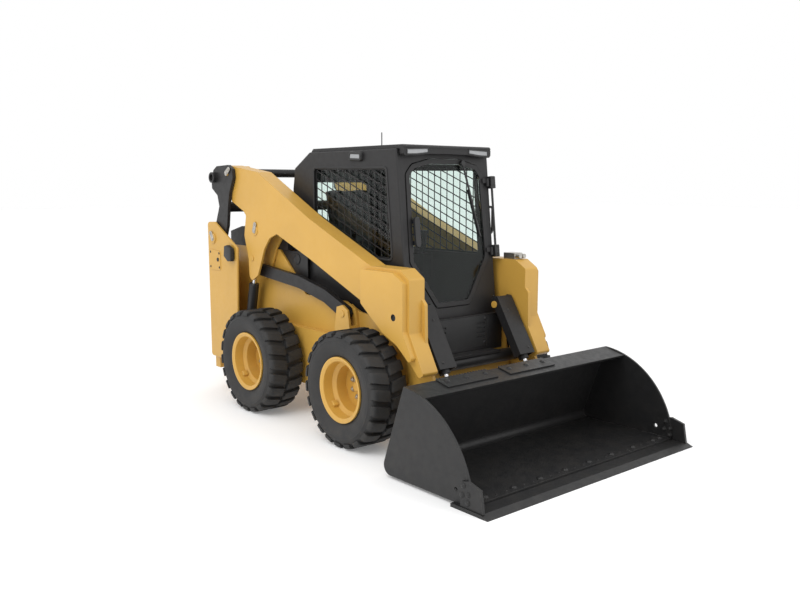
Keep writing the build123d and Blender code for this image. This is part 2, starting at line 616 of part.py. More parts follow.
# hydraulic couplers on top of the left arm
with BuildPart() as arm_couplers:
    with BuildSketch(Plane.XY.offset(1272)):
        with Locations((REAR_AXLE_X + 1545, (ARM_IN + ARM_OUT) / 2)):
            Rectangle(110, 90)
    extrude(amount=46)
    with BuildSketch(Plane.YZ.offset(REAR_AXLE_X + 1600)):
        with Locations(((ARM_IN + ARM_OUT) / 2 - 22, 1296), ((ARM_IN + ARM_OUT) / 2 + 22, 1296)):
            Circle(17)
    extrude(amount=44)
keep(arm_couplers.part, "arm_couplers")

# rear links joined by a cross tube
LINK = [
    (-800, 1992), (-600, 2000), (-535, 1965), (-523, 1890), (-590, 1760), (-616, 1649), (-640, 1480), (-700, 1340),
    (-790, 1290), (-880, 1300), (-912, 1370), (-880, 1450), (-836, 1502), (-771, 1645), (-800, 1740), (-895, 1800),
    (-900, 1880), (-860, 1960),
]
LINK_STUB = (-842.0, 1895.0)
with BuildPart() as rear_link:
    extrude(profile(LINK, LINK_IN, 16), amount=LINK_PLATE)
    extrude(disc(ARM_REAR, PIN_RADIUS + RUNNING, LINK_IN), amount=LINK_PLATE, mode=Mode.SUBTRACT)
    extrude(disc(LINK_TUBE, 45, 0), amount=LINK_OUT)
    extrude(disc(LINK_STUB, 46, LINK_OUT), amount=34)
    extrude(disc(LINK_STUB, 30, LINK_OUT + 14), amount=30, mode=Mode.SUBTRACT)
    mirror(about=Plane.XZ)
keep(rear_link.part, "rear_link")

# control links
CONTROL = [
    (-295, 1168), (306, 1113), (660, 1038), (946, 930), (968, 885), (930, 838), (890, 838), (650, 940), (300, 1017),
    (-295, 1072), (-343, 1120),
]
with BuildPart() as control_link:
    extrude(profile(CONTROL, CONTROL_IN, 14), amount=CONTROL_WIDTH)
    for pivot in (CONTROL_FRONT, CONTROL_REAR):
        extrude(disc(pivot, PIN_RADIUS + RUNNING, CONTROL_IN), amount=CONTROL_WIDTH, mode=Mode.SUBTRACT)
keep(both_sides(control_link.part), "control_links")

# lift cylinders
LIFT_SPAN = (Vector(*LIFT_EYE) - Vector(*LIFT_BASE)).length
with BuildPart() as lift_barrel:
    with BuildSketch(on_axis(LIFT_BASE, LIFT_EYE, LIFT_Y, 40)):
        Circle(LIFT_BARREL)
    extrude(amount=LIFT_LENGTH - 40)
    extrude(disc(LIFT_BASE, 46, LIFT_Y - 30), amount=60)
    extrude(disc(LIFT_BASE, PIN_RADIUS + RUNNING, LIFT_Y - 40), amount=80, mode=Mode.SUBTRACT)
    with BuildSketch(on_axis(LIFT_BASE, LIFT_EYE, LIFT_Y, 58)):
        Circle(LIFT_ROD + RUNNING)
    extrude(amount=LIFT_LENGTH, mode=Mode.SUBTRACT)
keep(both_sides(lift_barrel.part), "lift_barrels")

with BuildPart() as lift_rod:
    with BuildSketch(on_axis(LIFT_BASE, LIFT_EYE, LIFT_Y, 66)):
        Circle(LIFT_ROD)
    extrude(amount=LIFT_SPAN - 66)
    extrude(disc(LIFT_EYE, 40, LIFT_Y - LIFT_EYE_WIDTH / 2), amount=LIFT_EYE_WIDTH)
keep(both_sides(lift_rod.part), "lift_rods")

# tilt cylinders and the channel guards in front of them
TILT_SPAN = (Vector(*TILT_EYE) - Vector(*TILT_TOP)).length
with BuildPart() as tilt_barrel:
    with BuildSketch(on_axis(TILT_TOP, TILT_EYE, TILT_Y, 36)):
        Circle(TILT_BARREL)
    extrude(amount=TILT_LENGTH - 36)
    extrude(disc(TILT_TOP, 44, TILT_Y - 30), amount=60)
    extrude(disc(TILT_TOP, PIN_RADIUS + RUNNING, TILT_Y - 40), amount=80, mode=Mode.SUBTRACT)
    with BuildSketch(on_axis(TILT_TOP, TILT_EYE, TILT_Y, 56)):
        Circle(TILT_ROD + RUNNING)
    extrude(amount=TILT_LENGTH, mode=Mode.SUBTRACT)
keep(both_sides(tilt_barrel.part), "tilt_barrels")

with BuildPart() as tilt_rod:
    with BuildSketch(on_axis(TILT_TOP, TILT_EYE, TILT_Y, 150)):
        Circle(TILT_ROD)
    extrude(amount=TILT_SPAN - 150)
    extrude(disc(TILT_EYE, 38, TILT_Y - 25), amount=50)
keep(both_sides(tilt_rod.part), "tilt_rods")

TILT_LINE = Plane(
    origin=on_axis(TILT_TOP, TILT_EYE, TILT_Y + GUARD_HALF, 0).origin,
    x_dir=on_axis(TILT_TOP, TILT_EYE, TILT_Y, 0).z_dir,
    z_dir=(0, 1, 0),
)
with BuildPart() as tilt_guard:
    with BuildSketch(TILT_LINE):
        with BuildLine():
            Polyline((-48, 14), (-62, -20), (-40, -GUARD_AHEAD), (GUARD_LENGTH, -GUARD_AHEAD), (GUARD_LENGTH, 14), close=True)
        make_face()
    extrude(amount=2 * GUARD_HALF)
    with BuildSketch(TILT_LINE.offset(SHEET)):
        with BuildLine():
            Polyline(
                (-90, 40), (-90, -10), (-46, SHEET - GUARD_AHEAD), (GUARD_LENGTH + 40, SHEET - GUARD_AHEAD),
                (GUARD_LENGTH + 40, 40), close=True,
            )
        make_face()
    extrude(amount=2 * GUARD_HALF - 2 * SHEET, mode=Mode.SUBTRACT)
    extrude(
        disc(TILT_TOP, PIN_RADIUS + RUNNING, TILT_Y - GUARD_HALF), amount=2 * GUARD_HALF, mode=Mode.SUBTRACT
    )
keep(both_sides(tilt_guard.part), "tilt_guards")


def back(height, behind=0.0):
    """Point on the bucket's back at a height, or some way behind it."""
    slope = (BACK_TOP[0] - HEEL_X) / (BACK_TOP[1] - FLOOR_Z)
    return (HEEL_X + (height - FLOOR_Z) * slope - behind, height)


# coupler between the arms and the bucket
LUG_PLATE = [(1800, 215), (1815, 165), (1850, 150), back(130), back(430), (1930, 480), (1870, 440)]
COUPLER_LUG = 34.0
with BuildPart() as coupler_frame:
    extrude(profile(LUG_PLATE, TILT_Y - COUPLER_LUG - PLATE), amount=PLATE)
    extrude(profile(LUG_PLATE, TILT_Y + COUPLER_LUG), amount=PLATE)
    extrude(disc(BUCKET_PIN, PIN_RADIUS, TILT_Y + COUPLER_LUG), amount=ARM_IN + 30 - TILT_Y)
    extrude(profile([back(130, 30), back(130), back(430), back(430, 30)], 0), amount=TILT_Y + 70)
    mirror(about=Plane.XZ)
keep(coupler_frame.part, "coupler_frame")

# bucket: floor, heel and back in one bent sheet, top lip and side plates
LIP_EDGE = (BACK_TOP[0] + LIP[0], BACK_TOP[1] + LIP[1])
PLATE_FRONT = (FLOOR_FRONT, FLOOR_Z + 88)
PLATE_HOLE = (FLOOR_FRONT - 125, FLOOR_Z + 80)
with BuildPart() as bucket_shell:
    with BuildSketch(SIDE):
        with BuildLine():
            FilletPolyline((FLOOR_FRONT, FLOOR_Z), (HEEL_X, FLOOR_Z), BACK_TOP, radius=HEEL_RADIUS)
            offset(amount=BUCKET_WALL, side=Side.RIGHT)
        make_face()
    extrude(amount=BUCKET_HALF)
    extrude(profile([BACK_TOP, LIP_EDGE, (LIP_EDGE[0] - 10, LIP_EDGE[1] - 16), back(530)], 0), amount=BUCKET_HALF)
    with BuildSketch(SIDE.offset(BUCKET_HALF - BUCKET_WALL)):
        with BuildLine():
            FilletPolyline((FLOOR_FRONT, FLOOR_Z), (HEEL_X, FLOOR_Z), BACK_TOP, radius=HEEL_RADIUS)
            ThreePointArc(BACK_TOP, (2470, 478), PLATE_FRONT)
            Line(PLATE_FRONT, (FLOOR_FRONT, FLOOR_Z))
        make_face()
        with Locations(PLATE_HOLE):
            Circle(14, mode=Mode.SUBTRACT)
    extrude(amount=BUCKET_WALL)
    mirror(about=Plane.XZ)
keep(bucket_shell.part, "bucket_shell")

# toothed steps on the lip
LIP_PLANE = Plane(
    origin=(REAR_AXLE_X + BACK_TOP[0], 0, BACK_TOP[1]), x_dir=(0, 1, 0), z_dir=(-LIP[1], 0, LIP[0])
)
STEP_WIDTH = 450.0
STEP_DEPTH = 118.0
TEETH = 18
with BuildPart() as bucket_steps:
    with BuildSketch(LIP_PLANE):
        with Locations((-526, -STEP_DEPTH / 2 - 4), (42, -STEP_DEPTH / 2 - 4)):
            Rectangle(STEP_WIDTH, STEP_DEPTH)
            with Locations((0, STEP_DEPTH / 2)):
                with GridLocations(STEP_WIDTH / TEETH, 0, TEETH, 1):
                    RegularPolygon(STEP_WIDTH / TEETH / 2, 4)
    extrude(amount=10)
keep(bucket_steps.part, "bucket_steps")

# bolt-on cutting edge and side cutters
with BuildPart() as cutting_edge:
    extrude(
        profile(
            [(FLOOR_FRONT - 140, 0), (EDGE_TIP, 0), (EDGE_TIP - 57, FLOOR_Z), (FLOOR_FRONT - 140, FLOOR_Z)], 0
        ),
        amount=EDGE_HALF,
    )
    mirror(about=Plane.XZ)
keep(cutting_edge.part, "cutting_edge")

SIDE_CUTTER = [
    (FLOOR_FRONT - 70, FLOOR_Z), (FLOOR_FRONT - 62, FLOOR_Z + 150), (FLOOR_FRONT - 10, FLOOR_Z + 160),
    (FLOOR_FRONT + 88, FLOOR_Z + 132), (FLOOR_FRONT + 112, FLOOR_Z),
]
with BuildPart() as side_cutter:
    extrude(profile(SIDE_CUTTER, BUCKET_HALF), amount=CUTTER)
keep(both_sides(side_cutter.part), "side_cutters")

# wheels, drawn round the origin and moved to their axles; the tyres are faceted between their lugs
SHOULDER = (16.0, 56.0)
DISH = (44.0, 100.0)
LUG_REACH = (LUG_WIDTH + LUG_SWEEP) / 2
LUG_TOP = (TYRE_RADIUS**2 - LUG_REACH**2) ** 0.5
with BuildPart() as tyre:
    with BuildSketch(WHEEL_SIDE.offset(WHEEL_Y - TYRE_WIDTH / 2)):
        RegularPolygon(TYRE_RADIUS - LUG_DEPTH, LUGS)
    extrude(amount=TYRE_WIDTH)
    for end in (0, -1):
        wall = tyre.faces().filter_by(Axis.Y).sort_by(Axis.Y)[end]
        chamfer(wall.edges(), SHOULDER[1], SHOULDER[0], reference=wall)
    with BuildSketch(WHEEL_SIDE.offset(WHEEL_Y - TYRE_WIDTH / 2)):
        RegularPolygon(RIM_RADIUS, LUGS, major_radius=False)
    extrude(amount=TYRE_WIDTH, mode=Mode.SUBTRACT)
    for end in (0, -1):
        wall = tyre.faces().filter_by(Axis.Y).sort_by(Axis.Y)[end]
        chamfer(wall.inner_wires()[0].edges(), DISH[1], DISH[0], reference=wall)
    for row in (-1, 1):
        tops = [
            Plane.XY.rotated((0, (turn + row / 4) * 360 / LUGS, 0)).offset(LUG_TOP) for turn in range(LUGS)
        ]
        with BuildSketch(*tops):
            with BuildLine():
                Polyline(
                    (LUG_REACH - LUG_WIDTH, -WHEEL_Y - row * 8),
                    (LUG_REACH, -WHEEL_Y - row * 8),
                    (LUG_WIDTH - LUG_REACH, -WHEEL_Y - row * (TYRE_WIDTH / 2 - 5)),
                    (-LUG_REACH, -WHEEL_Y - row * (TYRE_WIDTH / 2 - 5)),
                    close=True,
                )
            make_face()
        extrude(amount=-70)

with BuildPart() as rim:
    with BuildSketch(WHEEL_SECTION):
        with BuildLine():
            Polyline(
                *[
                    (WHEEL_Y + across, radius)
                    for across, radius in (
                        (BEAD + 18, RIM_FLANGE), (BEAD + 4, RIM_FLANGE), (BEAD, RIM_RADIUS), (60, RIM_RADIUS - 8),
                        (40, 180), (-60, 180), (-80, RIM_RADIUS - 8), (-BEAD, RIM_RADIUS), (-BEAD - 4, RIM_FLANGE),
                        (-BEAD - 18, RIM_FLANGE), (-BEAD - 18, RIM_FLANGE - 12), (-BEAD - 10, RIM_RADIUS - 12),
                        (-88, 196), (-68, 168), (-70, 40), (-54, 40), (-52, 168), (34, 168), (54, 196),
                        (BEAD + 8, RIM_RADIUS - 12), (BEAD + 18, RIM_FLANGE - 12),
                    )
                ],
                close=True,
            )
        make_face()
    revolve(axis=Axis.Y)

with BuildPart() as axle:
    with BuildSketch(WHEEL_SECTION):
        with BuildLine():
            Polyline(
                (CHAIN_HALF - 40, 0), (WHEEL_Y - 20, 0), (WHEEL_Y - 20, 38), (WHEEL_Y - 70, 38), (WHEEL_Y - 70, 120),
                (WHEEL_Y - 95, 120), (WHEEL_Y - 95, AXLE_RADIUS), (CHAIN_HALF - 40, AXLE_RADIUS), close=True,
            )
        make_face()
    revolve(axis=Axis.Y)

for end, ahead in (("rear", 0), ("front", WHEELBASE)):
    place = Pos(REAR_AXLE_X + ahead, 0, AXLE_Z)
    for name, piece in (("tyre", tyre), ("rim", rim), ("axle", axle)):
        right = place * piece.part
        keep(right, f"{name}_{end}_right")
        keep(mirror(right, about=Plane.XZ), f"{name}_{end}_left")
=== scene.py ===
"""Looks of a skid steer loader: finishes, tyres, seat pads, bolts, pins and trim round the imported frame."""

import json
import math

import bmesh
import bpy
from bpy.props import FloatProperty, FloatVectorProperty, IntProperty, PointerProperty
from mathutils import Matrix, Vector


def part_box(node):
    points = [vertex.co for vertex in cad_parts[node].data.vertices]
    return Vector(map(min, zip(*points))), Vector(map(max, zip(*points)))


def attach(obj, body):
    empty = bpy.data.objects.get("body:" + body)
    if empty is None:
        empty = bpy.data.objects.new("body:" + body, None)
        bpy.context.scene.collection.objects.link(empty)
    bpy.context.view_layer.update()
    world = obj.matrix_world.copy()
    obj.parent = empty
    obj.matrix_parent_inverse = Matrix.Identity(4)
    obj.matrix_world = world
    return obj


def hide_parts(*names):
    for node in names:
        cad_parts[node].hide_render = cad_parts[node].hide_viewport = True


bl_info = {
    "name": "Skid steer loader looks",
    "version": (1, 0, 0),
    "blender": (4, 5, 0),
    "location": "3D View > Sidebar > Loader",
    "description": "Finishes, tyres, seat pads, bolts, pins and trim of a skid steer loader, and its studio",
    "category": "Object",
}

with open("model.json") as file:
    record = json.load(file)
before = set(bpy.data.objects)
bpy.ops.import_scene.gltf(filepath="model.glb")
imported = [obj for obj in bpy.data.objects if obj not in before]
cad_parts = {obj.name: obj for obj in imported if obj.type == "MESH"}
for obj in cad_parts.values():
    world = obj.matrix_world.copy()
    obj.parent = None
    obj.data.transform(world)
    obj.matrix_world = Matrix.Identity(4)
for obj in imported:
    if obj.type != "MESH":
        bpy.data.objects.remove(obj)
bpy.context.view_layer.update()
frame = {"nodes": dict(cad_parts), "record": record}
FLOAT = "NodeSocketFloat"
VECTOR = "NodeSocketVector"
WHEELS = ("rear_right", "rear_left", "front_right", "front_left")
RIGHT = -1
LEFT = 1
SIDES = (RIGHT, LEFT)
# millimetres ahead of the rear axle and above the ground
CAB_FOOT = (1510, 760)
CAB_HEAD = (1369, 2085)
TILT_PIN = (1595, 944)
TILT_EYE = (1905, 430)
# millimetres from the middle
CAB_SIDE = 450
TOWER_SIDE = 709


def middle(node):
    """Centre of a CAD node's box."""
    low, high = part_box(node)
    return (low + high) / 2


def wheel_side(wheel):
    """Side of the machine that a wheel is on."""
    return LEFT if wheel.endswith("left") else RIGHT


AXLE = middle("axle_rear_right")
RAKE = Vector((CAB_HEAD[0] - CAB_FOOT[0], 0, CAB_HEAD[1] - CAB_FOOT[1])).normalized()


def spot(ahead, across, up):
    """Millimetres ahead of the rear axle, to the left and above the ground, as a point in metres."""
    return Vector((AXLE.x + ahead / 1000, across / 1000, up / 1000))


def on_front(across, step, ahead):
    """Point by the raked cab front: millimetres to the left, up the rake and ahead of it."""
    foot = spot(CAB_FOOT[0], across, CAB_FOOT[1])
    return foot + (RAKE * step + Vector((RAKE.z, 0, -RAKE.x)) * ahead) / 1000


# ---- settings


def tint(name, description, default):
    """Setting for a colour."""
    return FloatVectorProperty(name=name, description=description, subtype="COLOR", default=default)


def length(name, description, default):
    """Setting for a length."""
    return FloatProperty(name=name, description=description, unit="LENGTH", default=default)


class LoaderColours(bpy.types.PropertyGroup):
    """Colours of the finishes."""

    yellow: tint("Yellow paint", "Frame, arms and rims", (0.56, 0.320, 0.056))
    charcoal: tint("Charcoal paint", "Cab and links", (0.0155, 0.015, 0.0155))
    bucket: tint("Bucket paint", "Paint of the bucket", (0.011, 0.011, 0.0115))
    casting: tint("Casting", "Painted iron castings", (0.11, 0.11, 0.11))
    rubber: tint("Rubber", "Tyres and seals", (0.017, 0.017, 0.0175))
    plastic: tint("Plastic", "Moulded covers and handles", (0.014, 0.014, 0.0145))
    cloth: tint("Seat cloth", "Woven seat cover", (0.030, 0.031, 0.034))
    steel: tint("Plated steel", "Pins, keepers and bolts", (0.52, 0.50, 0.46))
    bare: tint("Bare steel", "Metal under worn paint", (0.20, 0.19, 0.18))
    chrome: tint("Chrome", "Cylinder rods", (0.72, 0.72, 0.74))
    pane: tint("Window tint", "Tint of the window glass", (0.85, 0.93, 0.90))
    lens: tint("Lamp lens", "Clear lamp lenses", (0.34, 0.35, 0.36))
    dust: tint("Dust", "Dust that settles low down", (0.26, 0.22, 0.17))


class LoaderSizes(bpy.types.PropertyGroup):
    """Sizes of the dressed pieces."""

    tread_radius: length("Tread radius", "Carcass radius under the lugs", 0.391)
    lug_top: length("Lug top", "Radius over the lugs", 0.4155)
    lug_bevel: length("Lug edge", "Rounding of the lug edges", 0.005)
    lugs: IntProperty(name="Lugs a row", description="Lugs in each of the two rows", default=22)
    nuts: IntProperty(name="Wheel nuts", description="Nuts on each wheel", default=8)
    nut_circle: length("Nut circle", "Radius of the wheel nut circle", 0.092)
    nut: length("Nut", "Half width of a wheel nut", 0.016)
    bolt: length("Bolt", "Radius of a domed bolt head", 0.018)
    keeper: length("Keeper", "Half width of a pin keeper", 0.023)
    seal: length("Seal", "Half width of a window seal", 0.009)
    voxel: length("Pad mesh", "Mesh size of the seat pads", 0.006)
    swell: length("Swell", "Most that a pad's cover moves", 0.012)
    groove: length("Seam depth", "Depth of a sewn channel", 0.009)


class LoaderStudio(bpy.types.PropertyGroup):
    """Camera and light."""

    place: FloatVectorProperty(
        name="Camera",
        description="Place of the camera",
        subtype="XYZ",
        unit="LENGTH",
        default=(5.0082, -4.2638, 1.8401),
    )
    turn: FloatProperty(name="Turn", description="Camera heading", subtype="ANGLE", default=math.radians(139.84))
    dip: FloatProperty(name="Dip", description="Camera dip below level", subtype="ANGLE", default=math.radians(7.83))
    lens: FloatProperty(name="Lens", description="Camera lens in millimetres", default=38.03)
    sky: FloatProperty(name="Sky", description="Strength of the even studio light", default=1.0)
    key: FloatProperty(name="Key light", description="Power of the large light", subtype="POWER", default=260.0)
    fill: FloatProperty(name="Fill light", description="Power of the side light", subtype="POWER", default=60.0)
    floor: tint("Floor", "Colour of the studio floor", (0.86, 0.86, 0.86))
    glow: FloatProperty(name="Floor glow", description="Light that the floor itself gives", default=0.15)


# ---- shader groups


def add(tree, kind, **settings):
    """New node with its settings."""
    made = tree.nodes.new(kind)
    for key, value in settings.items():
        setattr(made, key, value)
    return made


def join(tree, source, target, socket):
    """Link an output to a named input."""
    tree.links.new(source, target.inputs[socket])


def feed(tree, target, *sources):
    """Set or link a node's inputs in order; None leaves an input alone."""
    for socket, source in zip(target.inputs, sources):
        if source is None:
            continue
        if isinstance(source, bpy.types.NodeSocket):
            tree.links.new(source, socket)
        else:
            socket.default_value = source
    return target


def sums(tree, operation, *sources):
    """Result of a math node."""
    return feed(tree, add(tree, "ShaderNodeMath", operation=operation), *sources).outputs[0]


def spread(tree, source, low, high, start=0.0, end=1.0):
    """Map a value from one range to another, held at the ends."""
    return feed(tree, add(tree, "ShaderNodeMapRange"), source, low, high, start, end).outputs[0]


def grain(tree, vector, scale, detail=3.0, rough=0.55):
    """Noise value at a scale."""
    made = add(tree, "ShaderNodeTexNoise")
    join(tree, vector, made, "Vector")
    made.inputs["Scale"].default_value = scale
    made.inputs["Detail"].default_value = detail
    made.inputs["Roughness"].default_value = rough
    return made.outputs["Fac"]


def shader_group(name, given, wanted):
    """Empty shader group with its sockets; returns the tree, its input node and its output node."""
    tree = bpy.data.node_groups.new(name, "ShaderNodeTree")
    for label, kind, value in given:
        socket = tree.interface.new_socket(label, in_out="INPUT", socket_type=kind)
        if value is not None:
            socket.default_value = value
    for label, kind in wanted:
        tree.interface.new_socket(label, in_out="OUTPUT", socket_type=kind)
    return tree, add(tree, "NodeGroupInput"), add(tree, "NodeGroupOutput")


def worn_edges():
    """Mask of rubbed edges, and the normal that rounds them."""
    tree, given, made = shader_group(
        "worn_edges",
        [("Vector", VECTOR, None), ("Radius", FLOAT, 0.004), ("Amount", FLOAT, 0.5)],
        [("Wear", FLOAT), ("Normal", VECTOR)],
    )
    rounded = add(tree, "ShaderNodeBevel", samples=6)
    join(tree, given.outputs["Radius"], rounded, "Radius")
    facing = add(tree, "ShaderNodeNewGeometry")
    agree = feed(
        tree, add(tree, "ShaderNodeVectorMath", operation="DOT_PRODUCT"), rounded.outputs[0], facing.outputs["Normal"]
    )
    edge = spread(tree, agree.outputs["Value"], 0.985, 0.80)
    patches = spread(tree, grain(tree, given.outputs["Vector"], 16, 6, 0.65), 0.50, 0.66)
    wear = sums(tree, "MULTIPLY", sums(tree, "MULTIPLY", edge, patches), given.outputs["Amount"])
    join(tree, wear, made, "Wear")
    join(tree, rounded.outputs[0], made, "Normal")
    return tree


def paint_film():
    """Tone, gloss and orange peel of sprayed paint."""
    tree, given, made = shader_group(
        "paint_film", [("Vector", VECTOR, None)], [("Tone", FLOAT), ("Gloss", FLOAT), ("Height", FLOAT)]
    )
    place = given.outputs["Vector"]
    join(tree, spread(tree, grain(tree, place, 1.7), 0.3, 0.7, 0.93, 1.05), made, "Tone")
    join(tree, spread(tree, grain(tree, place, 24, 5), 0.3, 0.7, -0.07, 0.09), made, "Gloss")
    join(tree, grain(tree, place, 420, 2), made, "Height")
    return tree


def settled_dust():
    """Mask of dust that lies low down and on top faces."""
    tree, given, made = shader_group(
        "settled_dust",
        [("Vector", VECTOR, None), ("Reach", FLOAT, 0.7), ("Amount", FLOAT, 0.3)],
        [("Dust", FLOAT)],
    )
    place = feed(tree, add(tree, "ShaderNodeSeparateXYZ"), given.outputs["Vector"])
    low = feed(tree, add(tree, "ShaderNodeMapRange"), place.outputs["Z"], 0.0, given.outputs["Reach"], 1.0, 0.0)
    facing = feed(tree, add(tree, "ShaderNodeSeparateXYZ"), add(tree, "ShaderNodeNewGeometry").outputs["Normal"])
    top = spread(tree, facing.outputs["Z"], 0.35, 1.0, 0.0, 0.45)
    patches = spread(tree, grain(tree, given.outputs["Vector"], 11, 8, 0.6), 0.40, 0.72)
    where = sums(tree, "MULTIPLY", sums(tree, "ADD", low.outputs[0], top), patches)
    dust = add(tree, "ShaderNodeMath", operation="MULTIPLY", use_clamp=True)
    join(tree, feed(tree, dust, where, given.outputs["Amount"]).outputs[0], made, "Dust")
    return tree


def moulded_grain():
    """Tone and height of moulded rubber and plastic."""
    tree, given, made = shader_group(
        "moulded_grain", [("Vector", VECTOR, None), ("Scale", FLOAT, 300.0)], [("Tone", FLOAT), ("Height", FLOAT)]
    )
    cells = add(tree, "ShaderNodeTexVoronoi", feature="SMOOTH_F1")
    join(tree, given.outputs["Vector"], cells, "Vector")
    join(tree, given.outputs["Scale"], cells, "Scale")
    join(tree, cells.outputs["Distance"], made, "Height")
    join(tree, spread(tree, grain(tree, given.outputs["Vector"], 6, 5), 0.3, 0.7, 0.82, 1.16), made, "Tone")
    return tree


def woven_cloth():
    """Tone and height of a plain weave."""
    tree, given, made = shader_group("woven_cloth", [("Vector", VECTOR, None)], [("Tone", FLOAT), ("Height", FLOAT)])
    threads = []
    for axis in ("X", "Y", "Z"):
        wave = add(tree, "ShaderNodeTexWave", bands_direction=axis)
        join(tree, given.outputs["Vector"], wave, "Vector")
        wave.inputs["Scale"].default_value = 160
        wave.inputs["Distortion"].default_value = 0.6
        threads.append(wave.outputs["Fac"])
    height = sums(tree, "ADD", sums(tree, "ADD", threads[0], threads[1]), threads[2])
    join(tree, height, made, "Height")
    join(tree, spread(tree, height, 0.6, 2.4, 0.7, 1.25), made, "Tone")
    return tree


GROUPS = (worn_edges, paint_film, settled_dust, moulded_grain, woven_cloth)


def use(tree, group, *sources):
    """A shader group in a material, with its inputs set in order."""
    made = add(tree, "ShaderNodeGroup", node_tree=bpy.data.node_groups[group.__name__])
    return feed(tree, made, *sources)


# ---- materials


def start(name):
    """New material; returns its tree, its surface node and its object coordinates."""
    made = bpy.data.materials.new(name)
    made.use_nodes = True
    tree = made.node_tree
    return tree, tree.nodes["Principled BSDF"], add(tree, "ShaderNodeTexCoord").outputs["Object"]


def blend(tree, factor, first, second, kind="MIX"):
    """Mix of two colours."""
    made = add(tree, "ShaderNodeMix", data_type="RGBA", blend_type=kind)
    for index, source in ((0, factor), (6, first), (7, second)):
        if isinstance(source, bpy.types.NodeSocket):
            tree.links.new(source, made.inputs[index])
        elif index:
            made.inputs[index].default_value = (*source, 1)
        else:
            made.inputs[index].default_value = source
    return made.outputs[2]


def relief(tree, surface, height, depth, normal=None):
    """Bump on a surface."""
    made = add(tree, "ShaderNodeBump")
    made.inputs["Strength"].default_value = 0.35
    made.inputs["Distance"].default_value = depth
    join(tree, height, made, "Height")
    if normal is not None:
        join(tree, normal, made, "Normal")
    join(tree, made.outputs[0], surface, "Normal")


def painted(name, colours, colour, rough, wear, dust, shine):
    """Sprayed paint, rubbed to metal on its edges, with dust low down."""
    tree, surface, place = start(name)
    film = use(tree, paint_film, place)
    edge = use(tree, worn_edges, place, 0.004, wear)
    dirt = use(tree, settled_dust, place, 0.75, dust)
    toned = blend(tree, 1.0, colour, film.outputs["Tone"], "MULTIPLY")
    rubbed = blend(tree, edge.outputs["Wear"], toned, colours.bare)
    join(tree, blend(tree, dirt.outputs["Dust"], rubbed, colours.dust), surface, "Base Color")
    gloss = sums(tree, "ADD", film.outputs["Gloss"], rough)
    join(tree, sums(tree, "ADD", gloss, sums(tree, "MULTIPLY", dirt.outputs["Dust"], 0.3)), surface, "Roughness")
    join(tree, sums(tree, "MULTIPLY", edge.outputs["Wear"], 0.7), surface, "Metallic")
    surface.inputs["Specular IOR Level"].default_value = shine
    surface.inputs["Coat Weight"].default_value = 0.12
    surface.inputs["Coat Roughness"].default_value = 0.3
    relief(tree, surface, film.outputs["Height"], 0.0006, edge.outputs["Normal"])


def moulded(name, colours, colour, rough, scale, dust):
    """Moulded rubber or plastic with a fine grain and dust low down."""
    tree, surface, place = start(name)
    skin = use(tree, moulded_grain, place, scale)
    dirt = use(tree, settled_dust, place, 0.9, dust)
    toned = blend(tree, 1.0, colour, skin.outputs["Tone"], "MULTIPLY")
    join(tree, blend(tree, dirt.outputs["Dust"], toned, colours.dust), surface, "Base Color")
    join(tree, sums(tree, "ADD", sums(tree, "MULTIPLY", dirt.outputs["Dust"], 0.25), rough), surface, "Roughness")
    relief(tree, surface, skin.outputs["Height"], 0.0012, use(tree, worn_edges, place, 0.003, 0.0).outputs["Normal"])


def metal(name, colour, rough, scale):
    """Bare metal with fine uneven polish."""
    tree, surface, place = start(name)
    marks = grain(tree, place, scale, 6, 0.7)
    join(tree, blend(tree, 1.0, colour, spread(tree, marks, 0.3, 0.7, 0.82, 1.1), "MULTIPLY"), surface, "Base Color")
    join(tree, spread(tree, marks, 0.3, 0.7, rough - 0.08, rough + 0.12), surface, "Roughness")
    surface.inputs["Metallic"].default_value = 1.0
    relief(tree, surface, marks, 0.0003, use(tree, worn_edges, place, 0.002, 0.0).outputs["Normal"])


def cloth(name, colour):
    """Woven seat cover."""
    tree, surface, place = start(name)
    weave = use(tree, woven_cloth, place)
    join(tree, blend(tree, 1.0, colour, weave.outputs["Tone"], "MULTIPLY"), surface, "Base Color")
    surface.inputs["Roughness"].default_value = 0.85
    surface.inputs["Sheen Weight"].default_value = 0.3
    relief(tree, surface, weave.outputs["Height"], 0.0015)


def pane(name, colours):
    """Tinted window glass with a faint film of dust."""
    tree, surface, place = start(name)
    film = use(tree, settled_dust, place, 2.4, 0.04)
    join(tree, blend(tree, film.outputs["Dust"], colours.pane, colours.dust), surface, "Base Color")
    surface.inputs["Roughness"].default_value = 0.0
    surface.inputs["IOR"].default_value = 1.25
    surface.inputs["Transmission Weight"].default_value = 1.0


def lens(name, colour):
    """Fluted lamp lens."""
    tree, surface, place = start(name)
    flutes = add(tree, "ShaderNodeTexWave", bands_direction="Y")
    join(tree, place, flutes, "Vector")
    flutes.inputs["Scale"].default_value = 28
    tone = spread(tree, flutes.outputs["Fac"], 0, 1, 0.72, 1.1)
    join(tree, blend(tree, 1.0, colour, tone, "MULTIPLY"), surface, "Base Color")
    join(tree, spread(tree, grain(tree, place, 60), 0.3, 0.7, 0.10, 0.2), surface, "Roughness")
    surface.inputs["Coat Weight"].default_value = 0.6
    relief(tree, surface, flutes.outputs["Fac"], 0.002)


# ---- mesh helpers


def finished(bm, name, body, slot, smooth=40.0, replaces=()):
    """Turn a bmesh into a piece that rides on a body."""
    bmesh.ops.recalc_face_normals(bm, faces=bm.faces)
    mesh = bpy.data.meshes.new(name)
    bm.to_mesh(mesh)
    bm.free()
    mesh.shade_smooth()
    mesh.set_sharp_from_angle(angle=math.radians(smooth))
    mesh.materials.append(bpy.data.materials[slot])
    made = bpy.data.objects.new(name, mesh)
    bpy.context.scene.collection.objects.link(made)
    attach(made, body)
    if replaces:
        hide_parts(*replaces)
    return made


